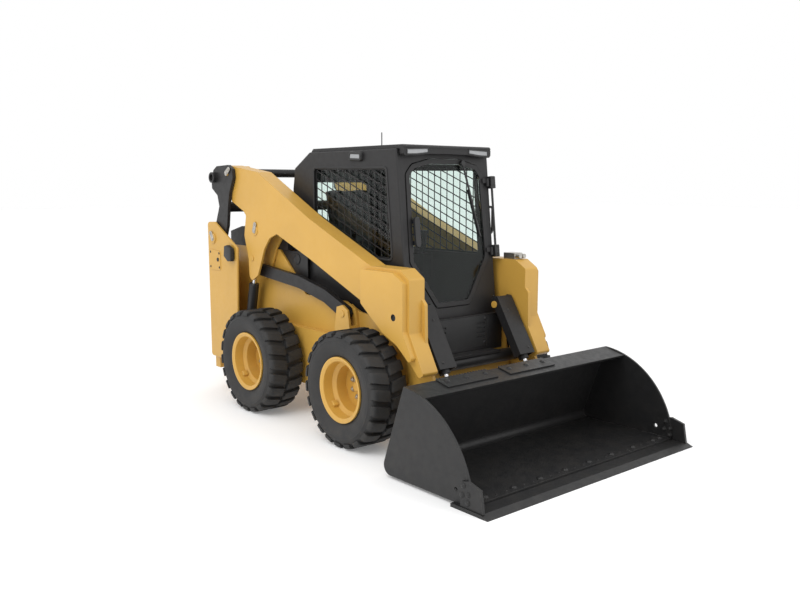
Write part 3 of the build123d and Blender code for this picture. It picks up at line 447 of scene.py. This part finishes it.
def facing(point, normal, turn=0.0):
    """Matrix that puts local Z along a normal at a point."""
    quarter = Vector(normal).to_track_quat("Z", "Y").to_matrix().to_4x4()
    return Matrix.Translation(point) @ quarter @ Matrix.Rotation(turn, 4, "Z")


def placed(first, second, third, origin):
    """Matrix with the given local axes at an origin."""
    return Matrix.Translation(origin) @ Matrix((first, second, third)).transposed().to_4x4()


def spin(bm, line, axis, steps):
    """Turn points and edges once round an axis through the origin."""
    return bmesh.ops.spin(bm, geom=line, cent=(0, 0, 0), axis=axis, angle=2 * math.pi, steps=steps, use_merge=True)


def ease(bm, edges, width):
    """Round edges."""
    bmesh.ops.bevel(bm, geom=edges, offset=width, affect="EDGES", segments=2, profile=0.5, material=-1)


def lathe(bm, outline, place, steps):
    """Spin (radius, height) points round local Z and put the solid in place."""
    made = [bm.verts.new((radius, 0, height)) for radius, height in outline]
    rims = [bm.edges.new(pair) for pair in zip(made, made[1:])]
    spun = spin(bm, made + rims, (0, 0, 1), steps)
    whole = {v for e in rims for v in e.verts} | {v for v in spun["geom_last"] if isinstance(v, bmesh.types.BMVert)}
    reached = set(whole)
    while whole:
        near = whole.pop()
        for edge in near.link_edges:
            other = edge.other_vert(near)
            if other not in reached:
                reached.add(other)
                whole.add(other)
    bmesh.ops.remove_doubles(bm, verts=list(reached), dist=1e-6)
    bmesh.ops.transform(bm, matrix=place, verts=[v for v in reached if v.is_valid])


def prism(bm, outline, depth, place, bevel=0.0):
    """Extrude a flat outline along local Z, round its edges and put it in place."""
    low = [bm.verts.new((x, y, 0)) for x, y in outline]
    high = [bm.verts.new((x, y, depth)) for x, y in outline]
    count = len(outline)
    bm.faces.new(low[::-1])
    cap = bm.faces.new(high)
    for index in range(count):
        after = (index + 1) % count
        bm.faces.new((low[index], low[after], high[after], high[index]))
    bmesh.ops.transform(bm, matrix=place, verts=low + high)
    if bevel:
        ease(bm, list(cap.edges), bevel)


def rounded(points, radius, steps=5):
    """Outline with its corners turned into arcs."""
    made = []
    count = len(points)
    for index, corner in enumerate(points):
        corner = Vector(corner)
        before = (Vector(points[index - 1]) - corner).normalized()
        after = (Vector(points[(index + 1) % count]) - corner).normalized()
        half = math.acos(max(-1, min(1, before.dot(after)))) / 2
        reach = radius / math.tan(half)
        centre = corner + (before + after).normalized() * (radius / math.sin(half))
        first = corner + before * reach - centre
        last = corner + after * reach - centre
        for step in range(steps + 1):
            made.append(centre + first.slerp(last, step / steps).normalized() * radius)
    return made


def side_plate(bm, points, radius, side, across, depth, bevel):
    """Plate on a side, from points in millimetres ahead and up, lying across metres from the middle."""
    outline = [(point.x / 1000 + AXLE.x, point.y / 1000) for point in rounded(points, radius)]
    place = placed((1, 0, 0), (0, 0, 1), (0, side, 0), (0, side * across, 0))
    prism(bm, outline, depth, place, bevel)


def ring(count, radius):
    """Points round a circle."""
    angles = [2 * math.pi * index / count for index in range(count)]
    return [(radius * math.cos(angle), radius * math.sin(angle)) for angle in angles]


# outlines as multiples of a radius
DOME = ((0, 0), (1.35, 0), (1.35, 0.12), (1, 0.16), (0.94, 0.34), (0.7, 0.52), (0.36, 0.6), (0, 0.62))
WASHER = ((0, 0), (1.35, 0), (1.35, 0.16), (0, 0.16))
STUD = ((0, 0.7), (0.5, 0.7), (0.5, 1.05), (0.4, 1.15), (0, 1.15))


def scaled(outline, size):
    """Outline from multiples of a size."""
    return [(size * wide, size * high) for wide, high in outline]


def dome(bm, point, normal, radius):
    """Domed bolt head on a thin washer."""
    lathe(bm, scaled(DOME, radius), facing(point, normal), 16)


def hexagon(bm, point, normal, radius, turn=0.0):
    """Hexagon head on a washer, with the stud's end."""
    lathe(bm, scaled(WASHER, radius), facing(point, normal), 18)
    above = Vector(point) + Vector(normal) * 0.16 * radius
    prism(bm, ring(6, radius), 0.75 * radius, facing(above, normal, turn), 0.1 * radius)
    lathe(bm, scaled(STUD, radius), facing(above, normal), 12)


def seal(bm, outline, across, out, half, rise):
    """Rubber strip along a closed line of points; across gives the line's plane."""
    count = len(outline)
    rows = []
    for index, point in enumerate(outline):
        along = (outline[(index + 1) % count] - outline[index - 1]).normalized()
        aside = along.cross(across).normalized()
        rows.append(
            [
                bm.verts.new(point + aside * half * wide + out * rise * high)
                for wide, high in ((-1, 0), (-1, 0.55), (-0.55, 1), (0.55, 1), (1, 0.55), (1, 0))
            ]
        )
    for index in range(count):
        first = rows[index]
        second = rows[(index + 1) % count]
        for step in range(6):
            bm.faces.new((first[step], first[(step + 1) % 6], second[(step + 1) % 6], second[step]))


# ---- operators


class LOADER_OT_finishes(bpy.types.Operator):
    """Make the materials and give each CAD node its finish"""

    bl_idname = "loader.finishes"
    bl_label = "Finishes"

    def execute(self, context):
        colours = context.scene.loader_colours
        for stale in list(bpy.data.materials):
            stale.name = "packed_" + stale.name
        for group in GROUPS:
            group()
        painted("yellow_paint", colours, colours.yellow, 0.42, 0.30, 0.08, 0.5)
        painted("black_paint", colours, colours.charcoal, 0.46, 0.18, 0.05, 0.30)
        painted("bucket_paint", colours, colours.bucket, 0.44, 0.45, 0.025, 0.36)
        painted("cast_iron", colours, colours.casting, 0.62, 0.15, 0.30, 0.5)
        moulded("rubber", colours, colours.rubber, 0.68, 240.0, 0.07)
        moulded("black_plastic", colours, colours.plastic, 0.48, 420.0, 0.08)
        metal("dark_steel", colours.steel, 0.34, 90.0)
        metal("rod_chrome", colours.chrome, 0.16, 240.0)
        cloth("seat_cover", colours.cloth)
        pane("glass", colours)
        lens("lamp_lens", colours.lens)
        slots = {piece["node"]: piece["material_slot"] for piece in frame["record"]["subparts"]}
        for name, node in frame["nodes"].items():
            for holder in node.material_slots:
                holder.material = bpy.data.materials[slots[name]]
        return {"FINISHED"}


class LOADER_OT_tyres(bpy.types.Operator):
    """Tyres with bulging walls and swept lugs in the place of the plain CAD tyres"""

    bl_idname = "loader.tyres"
    bl_label = "Tyres"

    wall = (
        (110, 215), (119, 233), (126, 246), (139, 268), (149, 294), (153.5, 318), (155.5, 334), (154.2, 343),
        (155.6, 346), (155.4, 350), (152.5, 353), (148, 368), (140, 381), (128, 389), (100, 391), (50, 391), (0, 391),
    )
    rows = ((8, 0), (34, 0), (64, 0), (94, 0), (122, -0.5), (136, -4), (146, -13), (151, -30))
    # millimetres round the tread: where a lug starts, how far its outer end lags and how long it is
    heel, sweep, length = -23, 30, 76
    # metres: how far a lug reaches into the carcass, and its least height
    root, least = 0.012, 0.008

    def carcass(self, bm, sizes):
        outline = [(across, radius) for across, radius in self.wall]
        outline += [(-across, radius) for across, radius in reversed(self.wall[:-1])]
        made = [bm.verts.new((0, across / 1000, radius / 1000)) for across, radius in outline]
        rims = [bm.edges.new((made[index], made[index - 1])) for index in range(len(made))]
        spin(bm, made + rims, (0, 1, 0), 6 * sizes.lugs)
        bmesh.ops.remove_doubles(bm, verts=bm.verts, dist=1e-6)

    def lug(self, bm, sizes, row, centre):
        bottom = sizes.tread_radius - self.root
        inner, outer = self.rows[0][0], self.rows[-1][0]
        tops = []
        feet = []
        for across, drop in self.rows:
            start = self.heel - self.sweep * (across - inner) / (outer - inner)
            radius = sizes.lug_top + drop / 1000
            line = []
            sunk = []
            for step in range(4):
                angle = centre + (start + self.length * step / 3) / 1000 / sizes.lug_top
                ray = Vector((math.sin(angle), 0, math.cos(angle)))
                place = Vector((0, row * across / 1000, 0))
                line.append(bm.verts.new(place + ray * radius))
                sunk.append(bm.verts.new(place + ray * min(bottom, radius - self.least)))
            tops.append(line)
            feet.append(sunk)
        edges = []
        last = len(tops) - 1
        for index in range(last):
            for step in range(3):
                for grid in (tops, feet):
                    here, beyond = grid[index], grid[index + 1]
                    bm.faces.new((here[step], here[step + 1], beyond[step + 1], beyond[step]))
            for step in (0, 3):
                bm.faces.new((tops[index][step], tops[index + 1][step], feet[index + 1][step], feet[index][step]))
                edges.append(bm.edges.get((tops[index][step], tops[index + 1][step])))
        for index in (0, last):
            for step in range(3):
                bm.faces.new((tops[index][step], tops[index][step + 1], feet[index][step + 1], feet[index][step]))
                edges.append(bm.edges.get((tops[index][step], tops[index][step + 1])))
        return edges

    def execute(self, context):
        sizes = context.scene.loader_sizes
        pitch = 2 * math.pi / sizes.lugs
        for wheel in WHEELS:
            node = "tyre_" + wheel
            side = wheel_side(wheel)
            bm = bmesh.new()
            self.carcass(bm, sizes)
            edges = []
            for row in (-1, 1):
                for turn in range(sizes.lugs):
                    edges += self.lug(bm, sizes, row, (turn + row / 4) * pitch)
            ease(bm, edges, sizes.lug_bevel)
            place = Matrix.Translation(middle(node)) @ Matrix.Diagonal((1, side, 1, 1))
            bmesh.ops.transform(bm, matrix=place, verts=bm.verts)
            finished(bm, "lugged_" + node, "wheel_" + wheel, "rubber", 32.0, (node,))
        return {"FINISHED"}


class LOADER_OT_wheel_nuts(bpy.types.Operator):
    """Nuts and studs on the wheel discs, and the hub caps"""

    bl_idname = "loader.wheel_nuts"
    bl_label = "Wheel nuts"

    # metres: the disc's face in from the tyre's middle, and the hub's end out from the disc
    disc, hub = 0.0535, 0.0335
    cap = ((0, 0), (0.036, 0), (0.036, 0.004), (0.030, 0.012), (0.016, 0.015), (0, 0.015))

    def execute(self, context):
        sizes = context.scene.loader_sizes
        for wheel in WHEELS:
            side = wheel_side(wheel)
            centre = middle("tyre_" + wheel)
            face = Vector((centre.x, centre.y - side * self.disc, centre.z))
            bm = bmesh.new()
            for turn in range(sizes.nuts):
                angle = 2 * math.pi * (turn + 0.5) / sizes.nuts
                point = face + Vector((math.cos(angle), 0, math.sin(angle))) * sizes.nut_circle
                hexagon(bm, point, (0, side, 0), sizes.nut, angle)
            finished(bm, "wheel_nuts_" + wheel, "wheel_" + wheel, "dark_steel")
            bm = bmesh.new()
            end = face + Vector((0, side * self.hub, 0))
            lathe(bm, self.cap, facing(end, (0, side, 0)), 32)
            finished(bm, "hub_cap_" + wheel, "wheel_" + wheel, "yellow_paint")
        return {"FINISHED"}


class LOADER_OT_pin_keepers(bpy.types.Operator):
    """Plated keeper plates, each with its bolt, on the linkage pins"""

    bl_idname = "loader.pin_keepers"
    bl_label = "Pin keepers"

    pins = (
        ("arm_pin", "lift_arms", (-620, 682, 1932), 35),
        ("cylinder_pin", "lift_arms", (-235, 647, 1455), 75),
        ("link_pin", "chassis", (-842, 714, 1363), 120),
    )
    thick = 0.006

    def execute(self, context):
        half = context.scene.loader_sizes.keeper
        outline = rounded(scaled(((-1, -1), (3.1, -0.8), (3.1, 0.8), (-1, 1)), half), 0.7 * half)
        for name, body, (ahead, across, up), lean in self.pins:
            bm = bmesh.new()
            for side in SIDES:
                place = facing(spot(ahead, side * across, up), (0, side, 0), math.radians(lean * -side))
                prism(bm, outline, self.thick, place, 0.0015)
                above = place @ Matrix.Translation((0, 0, self.thick))
                cap = [(0, 0), (0.8 * half, 0), (0.8 * half, 0.004), (0.65 * half, 0.006), (0, 0.006)]
                lathe(bm, cap, above, 24)
                bolt = above @ Matrix.Translation((2.2 * half, 0, 0))
                prism(bm, ring(6, 0.42 * half), 0.008, bolt, 0.0012)
            finished(bm, name + "_keepers", body, "dark_steel")
        return {"FINISHED"}


class LOADER_OT_bucket_bolts(bpy.types.Operator):
    """Bolts of the cutting edge, the side cutters and the steps"""

    bl_idname = "loader.bucket_bolts"
    bl_label = "Bucket bolts"

    edge = (-935, -850, -607, -364, -121, 121, 364, 607, 850, 935)
    # millimetres: the bolts and the small heads between them ahead of the rear axle, and the edge's top
    line, between, top = 2652, 2660, 36
    cutter = ((2655, 150), (2646, 92), (2694, 104), (2692, 56))
    # millimetres from the middle: the cutters' outer and inner faces, and the steps' centres and bolts
    outside, inside = 1032, 998
    steps, row = (-526, 42), (-170, 0, 170)

    def execute(self, context):
        size = context.scene.loader_sizes.bolt
        bm = bmesh.new()
        for across in self.edge:
            dome(bm, spot(self.line, across, self.top), (0, 0, 1), size)
        for first, second in zip(self.edge, self.edge[1:]):
            for share in (0.35, 0.7):
                dome(bm, spot(self.between, first + (second - first) * share, self.top), (0, 0, 1), 0.35 * size)
        for side in SIDES:
            for ahead, up in self.cutter:
                dome(bm, spot(ahead, side * self.outside, up), (0, side, 0), 0.8 * size)
                hexagon(bm, spot(ahead, side * self.inside, up), (0, -side, 0), 0.75 * size)
        slope = Vector((40, 0, 175)).normalized()
        down = Vector((175, 0, -40)).normalized()
        for centre in self.steps:
            for across in self.row:
                point = spot(2110, centre + across, 617) + down * 0.052 + slope * 0.010
                dome(bm, point, slope, 0.85 * size)
        finished(bm, "bucket_bolts", "bucket", "bucket_paint")
        return {"FINISHED"}


class LOADER_OT_panel_bolts(bpy.types.Operator):
    """Small fasteners of the tower hatches and the front cover"""

    bl_idname = "loader.panel_bolts"
    bl_label = "Panel bolts"

    hatch = ((-896, 1112), (-740, 1112), (-740, 1236), (-896, 1242))
    latch = (-762, 1180)
    knob = ((0, 0), (0.017, 0), (0.017, 0.004), (0.013, 0.005), (0.010, 0.002), (0, 0.002))
    # millimetres: the cover's face ahead of the rear axle, its bolts to each side and their heights
    cover, apart, heights = 1574, 245, (665, 845)

    def execute(self, context):
        size = context.scene.loader_sizes.bolt
        bm = bmesh.new()
        for side in SIDES:
            for ahead, up in self.hatch:
                dome(bm, spot(ahead, side * TOWER_SIDE, up), (0, side, 0), 0.45 * size)
            place = facing(spot(self.latch[0], side * TOWER_SIDE, self.latch[1]), (0, side, 0))
            lathe(bm, self.knob, place, 24)
        finished(bm, "hatch_bolts", "chassis", "black_plastic")
        bm = bmesh.new()
        for side in SIDES:
            for up in self.heights:
                dome(bm, spot(self.cover, side * self.apart, up), (1, 0, 0), 0.6 * size)
        finished(bm, "cover_bolts", "chassis", "black_paint")
        return {"FINISHED"}


class LOADER_OT_cover_surround(bpy.types.Operator):
    """Black panels round the front cover, and the bolts of the tilt guards"""

    bl_idname = "loader.cover_surround"
    bl_label = "Cover surround"

    # metres across and up; the last three are millimetres ahead of the rear axle
    half = 0.271
    corner = 0.041
    outer = 0.430
    low, sill, top, cap = 0.606, 0.6395, 0.8705, 0.877
    behind, wall, front = 1541, 1560.3, 1573
    # metres: ahead of the tilt cylinder's line; along the line and in from the guard's outer face
    guard_face = 0.056
    guard_bolts = ((0.075, 0.100), (0.385, 0.045))

    def execute(self, context):
        bm = bmesh.new()
        forward = ((0, 1, 0), (0, 0, 1), (1, 0, 0))
        place = placed(*forward, spot(self.wall, 0, 0))
        depth = (self.front - self.wall) / 1000
        for side in SIDES:
            inner = self.half - self.corner
            outline = [(self.half, self.low), (self.outer, self.low), (self.outer, self.top), (inner, self.top)]
            for step in range(1, 7):
                angle = math.radians(15 * step)
                outline.append(
                    (inner + self.corner * math.sin(angle), self.top - self.corner * (1 - math.cos(angle)))
                )
            prism(bm, [(side * across, up) for across, up in outline], depth, place, 0.0015)
        inside = self.half - 0.0005
        strip = [(-inside, self.low), (inside, self.low), (inside, self.sill), (-inside, self.sill)]
        prism(bm, strip, depth, place, 0.0015)
        rear = placed(*forward, spot(self.behind, 0, 0))
        rest = self.top + 0.0002
        lid = [(-self.outer, rest), (self.outer, rest), (self.outer, self.cap), (-self.outer, self.cap)]
        prism(bm, lid, 0.034, rear, 0.002)
        finished(bm, "cover_surround", "chassis", "black_paint")
        bm = bmesh.new()
        along = Vector((TILT_EYE[0] - TILT_PIN[0], 0, TILT_EYE[1] - TILT_PIN[1])).normalized()
        ahead = Vector((-along.z, 0, along.x))
        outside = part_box("tilt_guards")[1][1]
        for side in SIDES:
            for step, across in self.guard_bolts:
                point = spot(TILT_PIN[0], 0, TILT_PIN[1]) + along * step + ahead * self.guard_face
                point.y = side * (outside - across)
                dome(bm, point, ahead, 0.009)
        finished(bm, "guard_bolts", "tilt_barrels", "black_plastic")
        return {"FINISHED"}


class LOADER_OT_seals(bpy.types.Operator):
    """Rubber seals round the side windows and the rear window"""

    bl_idname = "loader.seals"
    bl_label = "Window seals"

    window = ((360, 1330), (360, 1965), (1262, 1955), (1328, 1300), (420, 1300))
    rear = ((-320, 1380), (320, 1380), (320, 1860), (-320, 1860))
    rear_face = 60
    rise = 0.006

    def execute(self, context):
        half = context.scene.loader_sizes.seal
        bm = bmesh.new()
        for side in SIDES:
            line = [spot(ahead, side * CAB_SIDE, up) for ahead, up in rounded(self.window, 30)]
            seal(bm, line, Vector((0, 1, 0)), Vector((0, side, 0)), half, self.rise)
        line = [spot(self.rear_face, across, up) for across, up in rounded(self.rear, 40)]
        seal(bm, line, Vector((1, 0, 0)), Vector((-1, 0, 0)), half, self.rise)
        finished(bm, "window_seals", "chassis", "rubber", 50.0)
        return {"FINISHED"}


class LOADER_OT_lamp_bezels(bpy.types.Operator):
    """Rims round the work lamps and housings over the tail lamps"""

    bl_idname = "loader.lamp_bezels"
    bl_label = "Lamp bezels"

    lamp = ((200, 2058), (310, 2046), (400, 2044), (400, 2082), (200, 2090))
    visor = 1428
    side_lamp = ((850, 2020), (985, 2014), (985, 2060), (860, 2066))
    housing = ((-583, 1226), (-520, 1184), (-462, 1186), (-462, 1296), (-530, 1322), (-572, 1312))

    def execute(self, context):
        bm = bmesh.new()
        for side in SIDES:
            line = [spot(self.visor, side * across, up) for across, up in rounded(self.lamp, 6, 3)]
            seal(bm, line, Vector((1, 0, 0)), Vector((1, 0, 0)), 0.005, 0.004)
            line = [spot(ahead, side * CAB_SIDE, up) for ahead, up in rounded(self.side_lamp, 8, 3)]
            seal(bm, line, Vector((0, 1, 0)), Vector((0, side, 0)), 0.012, 0.024)
        finished(bm, "lamp_bezels", "chassis", "black_plastic", 50.0)
        bm = bmesh.new()
        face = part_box("tail_lamps")[1][1]
        for side in SIDES:
            side_plate(bm, self.housing, 9, side, face, 0.034, 0.006)
        finished(bm, "tail_lamp_housings", "chassis", "black_plastic")
        return {"FINISHED"}


class LOADER_OT_valve_guards(bpy.types.Operator):
    """Guards over the tyre valves, inside the rims"""

    bl_idname = "loader.valve_guards"
    bl_label = "Valve guards"

    guard = ((-0.026, -0.011), (0.026, -0.011), (0.019, 0.010), (-0.019, 0.010))
    # metres: from the wheel's middle, out along the axle, the guard's length, and its bolts
    reach, out, length = 0.186, 0.052, 0.042
    bolts, bolt = (-0.011, 0.011), 0.0055

    def execute(self, context):
        for wheel in WHEELS:
            side = wheel_side(wheel)
            centre = middle("tyre_" + wheel)
            inward = Vector((0.72, 0, 0.69)).normalized()
            along = Vector((0, side, 0))
            foot = centre - inward * self.reach + along * self.out
            place = placed(inward.cross(along) * -1, inward, along, foot)
            bm = bmesh.new()
            prism(bm, rounded(self.guard, 0.004), self.length, place, 0.003)
            for step in self.bolts:
                dome(bm, place @ Vector((step, 0.0, self.length)), along, self.bolt)
            finished(bm, "valve_guard_" + wheel, "wheel_" + wheel, "yellow_paint")
        return {"FINISHED"}


class LOADER_OT_hinge_covers(bpy.types.Operator):
    """Covers beside the front door's hinges, joined by a rod"""

    bl_idname = "loader.hinge_covers"
    bl_label = "Hinge covers"

    # millimetres up the rake: the hinges, a cover's start below its hinge, its height and its bolts
    steps = (545, 1065)
    below, tall, bolts = 16, 92, (12, 64)
    # millimetres to the left
    across = 460
    block = ((0.434, -0.0415), (0.480, -0.0415), (0.480, 0.010), (0.451, 0.010), (0.451, -0.0006), (0.434, -0.0006))

    def execute(self, context):
        bm = bmesh.new()
        left = Vector((0, 1, 0))
        for step in self.steps:
            place = placed(left, RAKE.cross(left), RAKE, on_front(0, step - self.below, 0))
            prism(bm, self.block, self.tall / 1000, place, 0.006)
            for height in self.bolts:
                dome(bm, on_front(self.across, step + height, 41.5), (RAKE.z, 0, -RAKE.x), 0.008)
        span = (self.steps[1] - self.steps[0] - self.tall + 12) / 1000
        rod = [(0, 0), (0.009, 0), (0.009, span), (0, span)]
        lathe(bm, rod, facing(on_front(self.across, self.steps[0] + 70, 20), RAKE), 20)
        finished(bm, "hinge_covers", "chassis", "black_plastic")
        return {"FINISHED"}


class LOADER_OT_side_shields(bpy.types.Operator):
    """Black shields that close the gap between the cab, the hood and the side walls"""

    bl_idname = "loader.side_shields"
    bl_label = "Side shields"

    shield = ((-92, 1297), (300, 1297), (300, 990), (-92, 990))
    # metres: the shield's inner face from the middle, and its thickness
    face, thick = 0.4725, 0.007
    # millimetres ahead, to each side and up
    boss = (150, 479.5, 1235)
    rim = ((0, 0), (0.046, 0), (0.046, 0.006), (0.040, 0.009), (0.030, 0.009), (0.026, 0.004), (0, 0.004))

    def execute(self, context):
        bm = bmesh.new()
        ahead, across, up = self.boss
        for side in SIDES:
            side_plate(bm, self.shield, 14, side, self.face, self.thick, 0.001)
            lathe(bm, self.rim, facing(spot(ahead, side * across, up), (0, side, 0)), 40)
        finished(bm, "side_shields", "chassis", "black_plastic")
        return {"FINISHED"}


class LOADER_OT_knee_plugs(bpy.types.Operator):
    """Black plugs in the arms' knee holes"""

    bl_idname = "loader.knee_plugs"
    bl_label = "Knee plugs"

    # millimetres ahead, to each side and up
    hole = (1612, 666.2, 947)
    plug = ((0, 0), (0.0236, 0), (0.0236, 0.013), (0.0215, 0.0134), (0.0200, 0.003), (0, 0.0025))

    def execute(self, context):
        bm = bmesh.new()
        ahead, across, up = self.hole
        for side in SIDES:
            lathe(bm, self.plug, facing(spot(ahead, side * across, up), (0, side, 0)), 40)
        finished(bm, "knee_plugs", "lift_arms", "black_plastic")
        return {"FINISHED"}


class LOADER_OT_seat_pads(bpy.types.Operator):
    """Swollen seat cushion and back with sewn channels, in the place of the CAD blocks"""

    bl_idname = "loader.seat_pads"
    bl_label = "Seat pads"

    # node, axis along which the seams follow each other, and the seams in metres
    pads = (("seat_cushion", 0, (0.20, 0.42, 0.62)), ("seat_back", 2, (1.36, 1.52, 1.66)))
    # share of the block that the cover starts from, inside pressure, and steps of the simulation
    share, pressure, steps = 0.965, 4, 20
    # metres: width of a seam, and how far a pad stays in from its block's low faces and out from the high ones
    seam_width, inset, rise = 0.012, 0.0004, 0.004

    def cover(self, context, node, sizes):
        """Evenly meshed copy of a CAD block, a little smaller."""
        mesh = frame["nodes"][node].data.copy()
        bm = bmesh.new()
        bm.from_mesh(mesh)
        bmesh.ops.remove_doubles(bm, verts=bm.verts, dist=0.0005)
        bmesh.ops.recalc_face_normals(bm, faces=bm.faces)
        centre = middle(node)
        for vert in bm.verts:
            vert.co = centre + (vert.co - centre) * self.share
        bm.to_mesh(mesh)
        bm.free()
        made = bpy.data.objects.new("stuffed_" + node, mesh)
        context.scene.collection.objects.link(made)
        even = made.modifiers.new("even", "REMESH")
        even.mode = "VOXEL"
        even.voxel_size = sizes.voxel
        self.settle(context, made)
        return made

    def settle(self, context, made):
        """Apply the modifiers of a pad."""
        ready = made.evaluated_get(context.evaluated_depsgraph_get())
        mesh = bpy.data.meshes.new_from_object(ready)
        made.modifiers.clear()
        made.data = mesh

    def stuff(self, context, made):
        """Swell the cover with inside pressure."""
        soft = made.modifiers.new("stuffing", "CLOTH")
        soft.settings.use_pressure = True
        soft.settings.uniform_pressure_force = self.pressure
        soft.settings.effector_weights.gravity = 0
        for step in range(1, self.steps + 1):
            context.scene.frame_set(step)
        self.settle(context, made)
        context.scene.frame_set(1)

    def execute(self, context):
        sizes = context.scene.loader_sizes
        for node, axis, seams in self.pads:
            low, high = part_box(node)
            made = self.cover(context, node, sizes)
            before = [vert.co.copy() for vert in made.data.vertices]
            self.stuff(context, made)
            seams = [AXLE.x + seam if axis == 0 else seam for seam in seams]
            normals = [vert.normal.copy() for vert in made.data.vertices]
            for vert, old, normal in zip(made.data.vertices, before, normals):
                step = vert.co - old
                if step.length > sizes.swell:
                    step = step.normalized() * sizes.swell
                depth = sum(math.exp(-(((old[axis] - seam) / self.seam_width) ** 2)) for seam in seams)
                if (axis == 0 and normal.z > 0.2) or (axis == 2 and normal.x > 0.2):
                    step = step - normal * depth * sizes.groove
                vert.co = old + step
                for index in range(3):
                    least, most = low[index] + self.inset, high[index] + self.rise
                    vert.co[index] = max(least, min(most, vert.co[index]))
            made.data.shade_smooth()
            made.data.materials.clear()
            made.data.materials.append(bpy.data.materials["seat_cover"])
            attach(made, "chassis")
            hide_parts(node)
        return {"FINISHED"}


class LOADER_OT_studio(bpy.types.Operator):
    """Pale floor, soft light and the camera"""

    bl_idname = "loader.studio"
    bl_label = "Studio"

    # metres: half of the floor's side, the point that the lights face, and the place and size of each light
    reach = 60
    aim = (0, 0, 0.9)
    key = ((1.5, -5.5, 6.5), 4.5)
    fill = ((6.5, 1.5, 3.5), 3.5)

    def lamp(self, context, name, place, size, power):
        light = bpy.data.lights.new(name, "AREA")
        light.energy = power
        light.size = size
        made = bpy.data.objects.new(name, light)
        made.location = place
        made.rotation_euler = (Vector(self.aim) - Vector(place)).to_track_quat("-Z", "Y").to_euler()
        context.scene.collection.objects.link(made)

    def execute(self, context):
        studio = context.scene.loader_studio
        bm = bmesh.new()
        bmesh.ops.create_grid(bm, x_segments=8, y_segments=8, size=self.reach)
        mesh = bpy.data.meshes.new("studio_floor")
        bm.to_mesh(mesh)
        bm.free()
        tree, surface, place = start("studio_floor")
        tone = spread(tree, grain(tree, place, 0.4), 0.3, 0.7, 0.985, 1.0)
        join(tree, blend(tree, 1.0, studio.floor, tone, "MULTIPLY"), surface, "Base Color")
        surface.inputs["Roughness"].default_value = 0.7
        surface.inputs["Emission Color"].default_value = (1, 1, 1, 1)
        surface.inputs["Emission Strength"].default_value = studio.glow
        mesh.materials.append(bpy.data.materials["studio_floor"])
        floor = bpy.data.objects.new("studio_floor", mesh)
        context.scene.collection.objects.link(floor)
        world = bpy.data.worlds.new("studio")
        world.use_nodes = True
        sky = world.node_tree.nodes["Background"]
        sky.inputs["Color"].default_value = (1, 1, 1, 1)
        sky.inputs["Strength"].default_value = studio.sky
        context.scene.world = world
        self.lamp(context, "key_light", *self.key, studio.key)
        self.lamp(context, "fill_light", *self.fill, studio.fill)
        camera = bpy.data.objects.new("camera", bpy.data.cameras.new("camera"))
        camera.data.lens = studio.lens
        camera.location = studio.place
        level = math.cos(studio.dip)
        look = Vector((level * math.cos(studio.turn), level * math.sin(studio.turn), -math.sin(studio.dip)))
        camera.rotation_euler = look.to_track_quat("-Z", "Y").to_euler()
        context.scene.collection.objects.link(camera)
        context.scene.camera = camera
        context.scene.view_settings.view_transform = "Standard"
        return {"FINISHED"}


class LOADER_PT_panel(bpy.types.Panel):
    """Loader settings and steps"""

    bl_idname = "LOADER_PT_panel"
    bl_label = "Loader"
    bl_space_type = "VIEW_3D"
    bl_region_type = "UI"
    bl_category = "Loader"

    def draw(self, context):
        for group in (context.scene.loader_colours, context.scene.loader_sizes, context.scene.loader_studio):
            box = self.layout.box()
            for key in group.__annotations__:
                box.prop(group, key)
        for step in STEPS:
            self.layout.operator(step.bl_idname)


STEPS = (
    LOADER_OT_finishes,
    LOADER_OT_tyres,
    LOADER_OT_wheel_nuts,
    LOADER_OT_pin_keepers,
    LOADER_OT_bucket_bolts,
    LOADER_OT_panel_bolts,
    LOADER_OT_cover_surround,
    LOADER_OT_seals,
    LOADER_OT_lamp_bezels,
    LOADER_OT_valve_guards,
    LOADER_OT_hinge_covers,
    LOADER_OT_side_shields,
    LOADER_OT_knee_plugs,
    LOADER_OT_seat_pads,
    LOADER_OT_studio,
)
SETTINGS = (
    ("loader_colours", LoaderColours),
    ("loader_sizes", LoaderSizes),
    ("loader_studio", LoaderStudio),
)


def register():
    for name, group in SETTINGS:
        bpy.utils.register_class(group)
        setattr(bpy.types.Scene, name, PointerProperty(type=group))
    for step in STEPS:
        bpy.utils.register_class(step)
    bpy.utils.register_class(LOADER_PT_panel)


def unregister():
    bpy.utils.unregister_class(LOADER_PT_panel)
    for step in reversed(STEPS):
        bpy.utils.unregister_class(step)
    for name, group in reversed(SETTINGS):
        delattr(bpy.types.Scene, name)
        bpy.utils.unregister_class(group)


def main():
    register()
    for step in STEPS:
        getattr(bpy.ops.loader, step.bl_idname.removeprefix("loader."))()


if __name__ == "__main__":
    main()
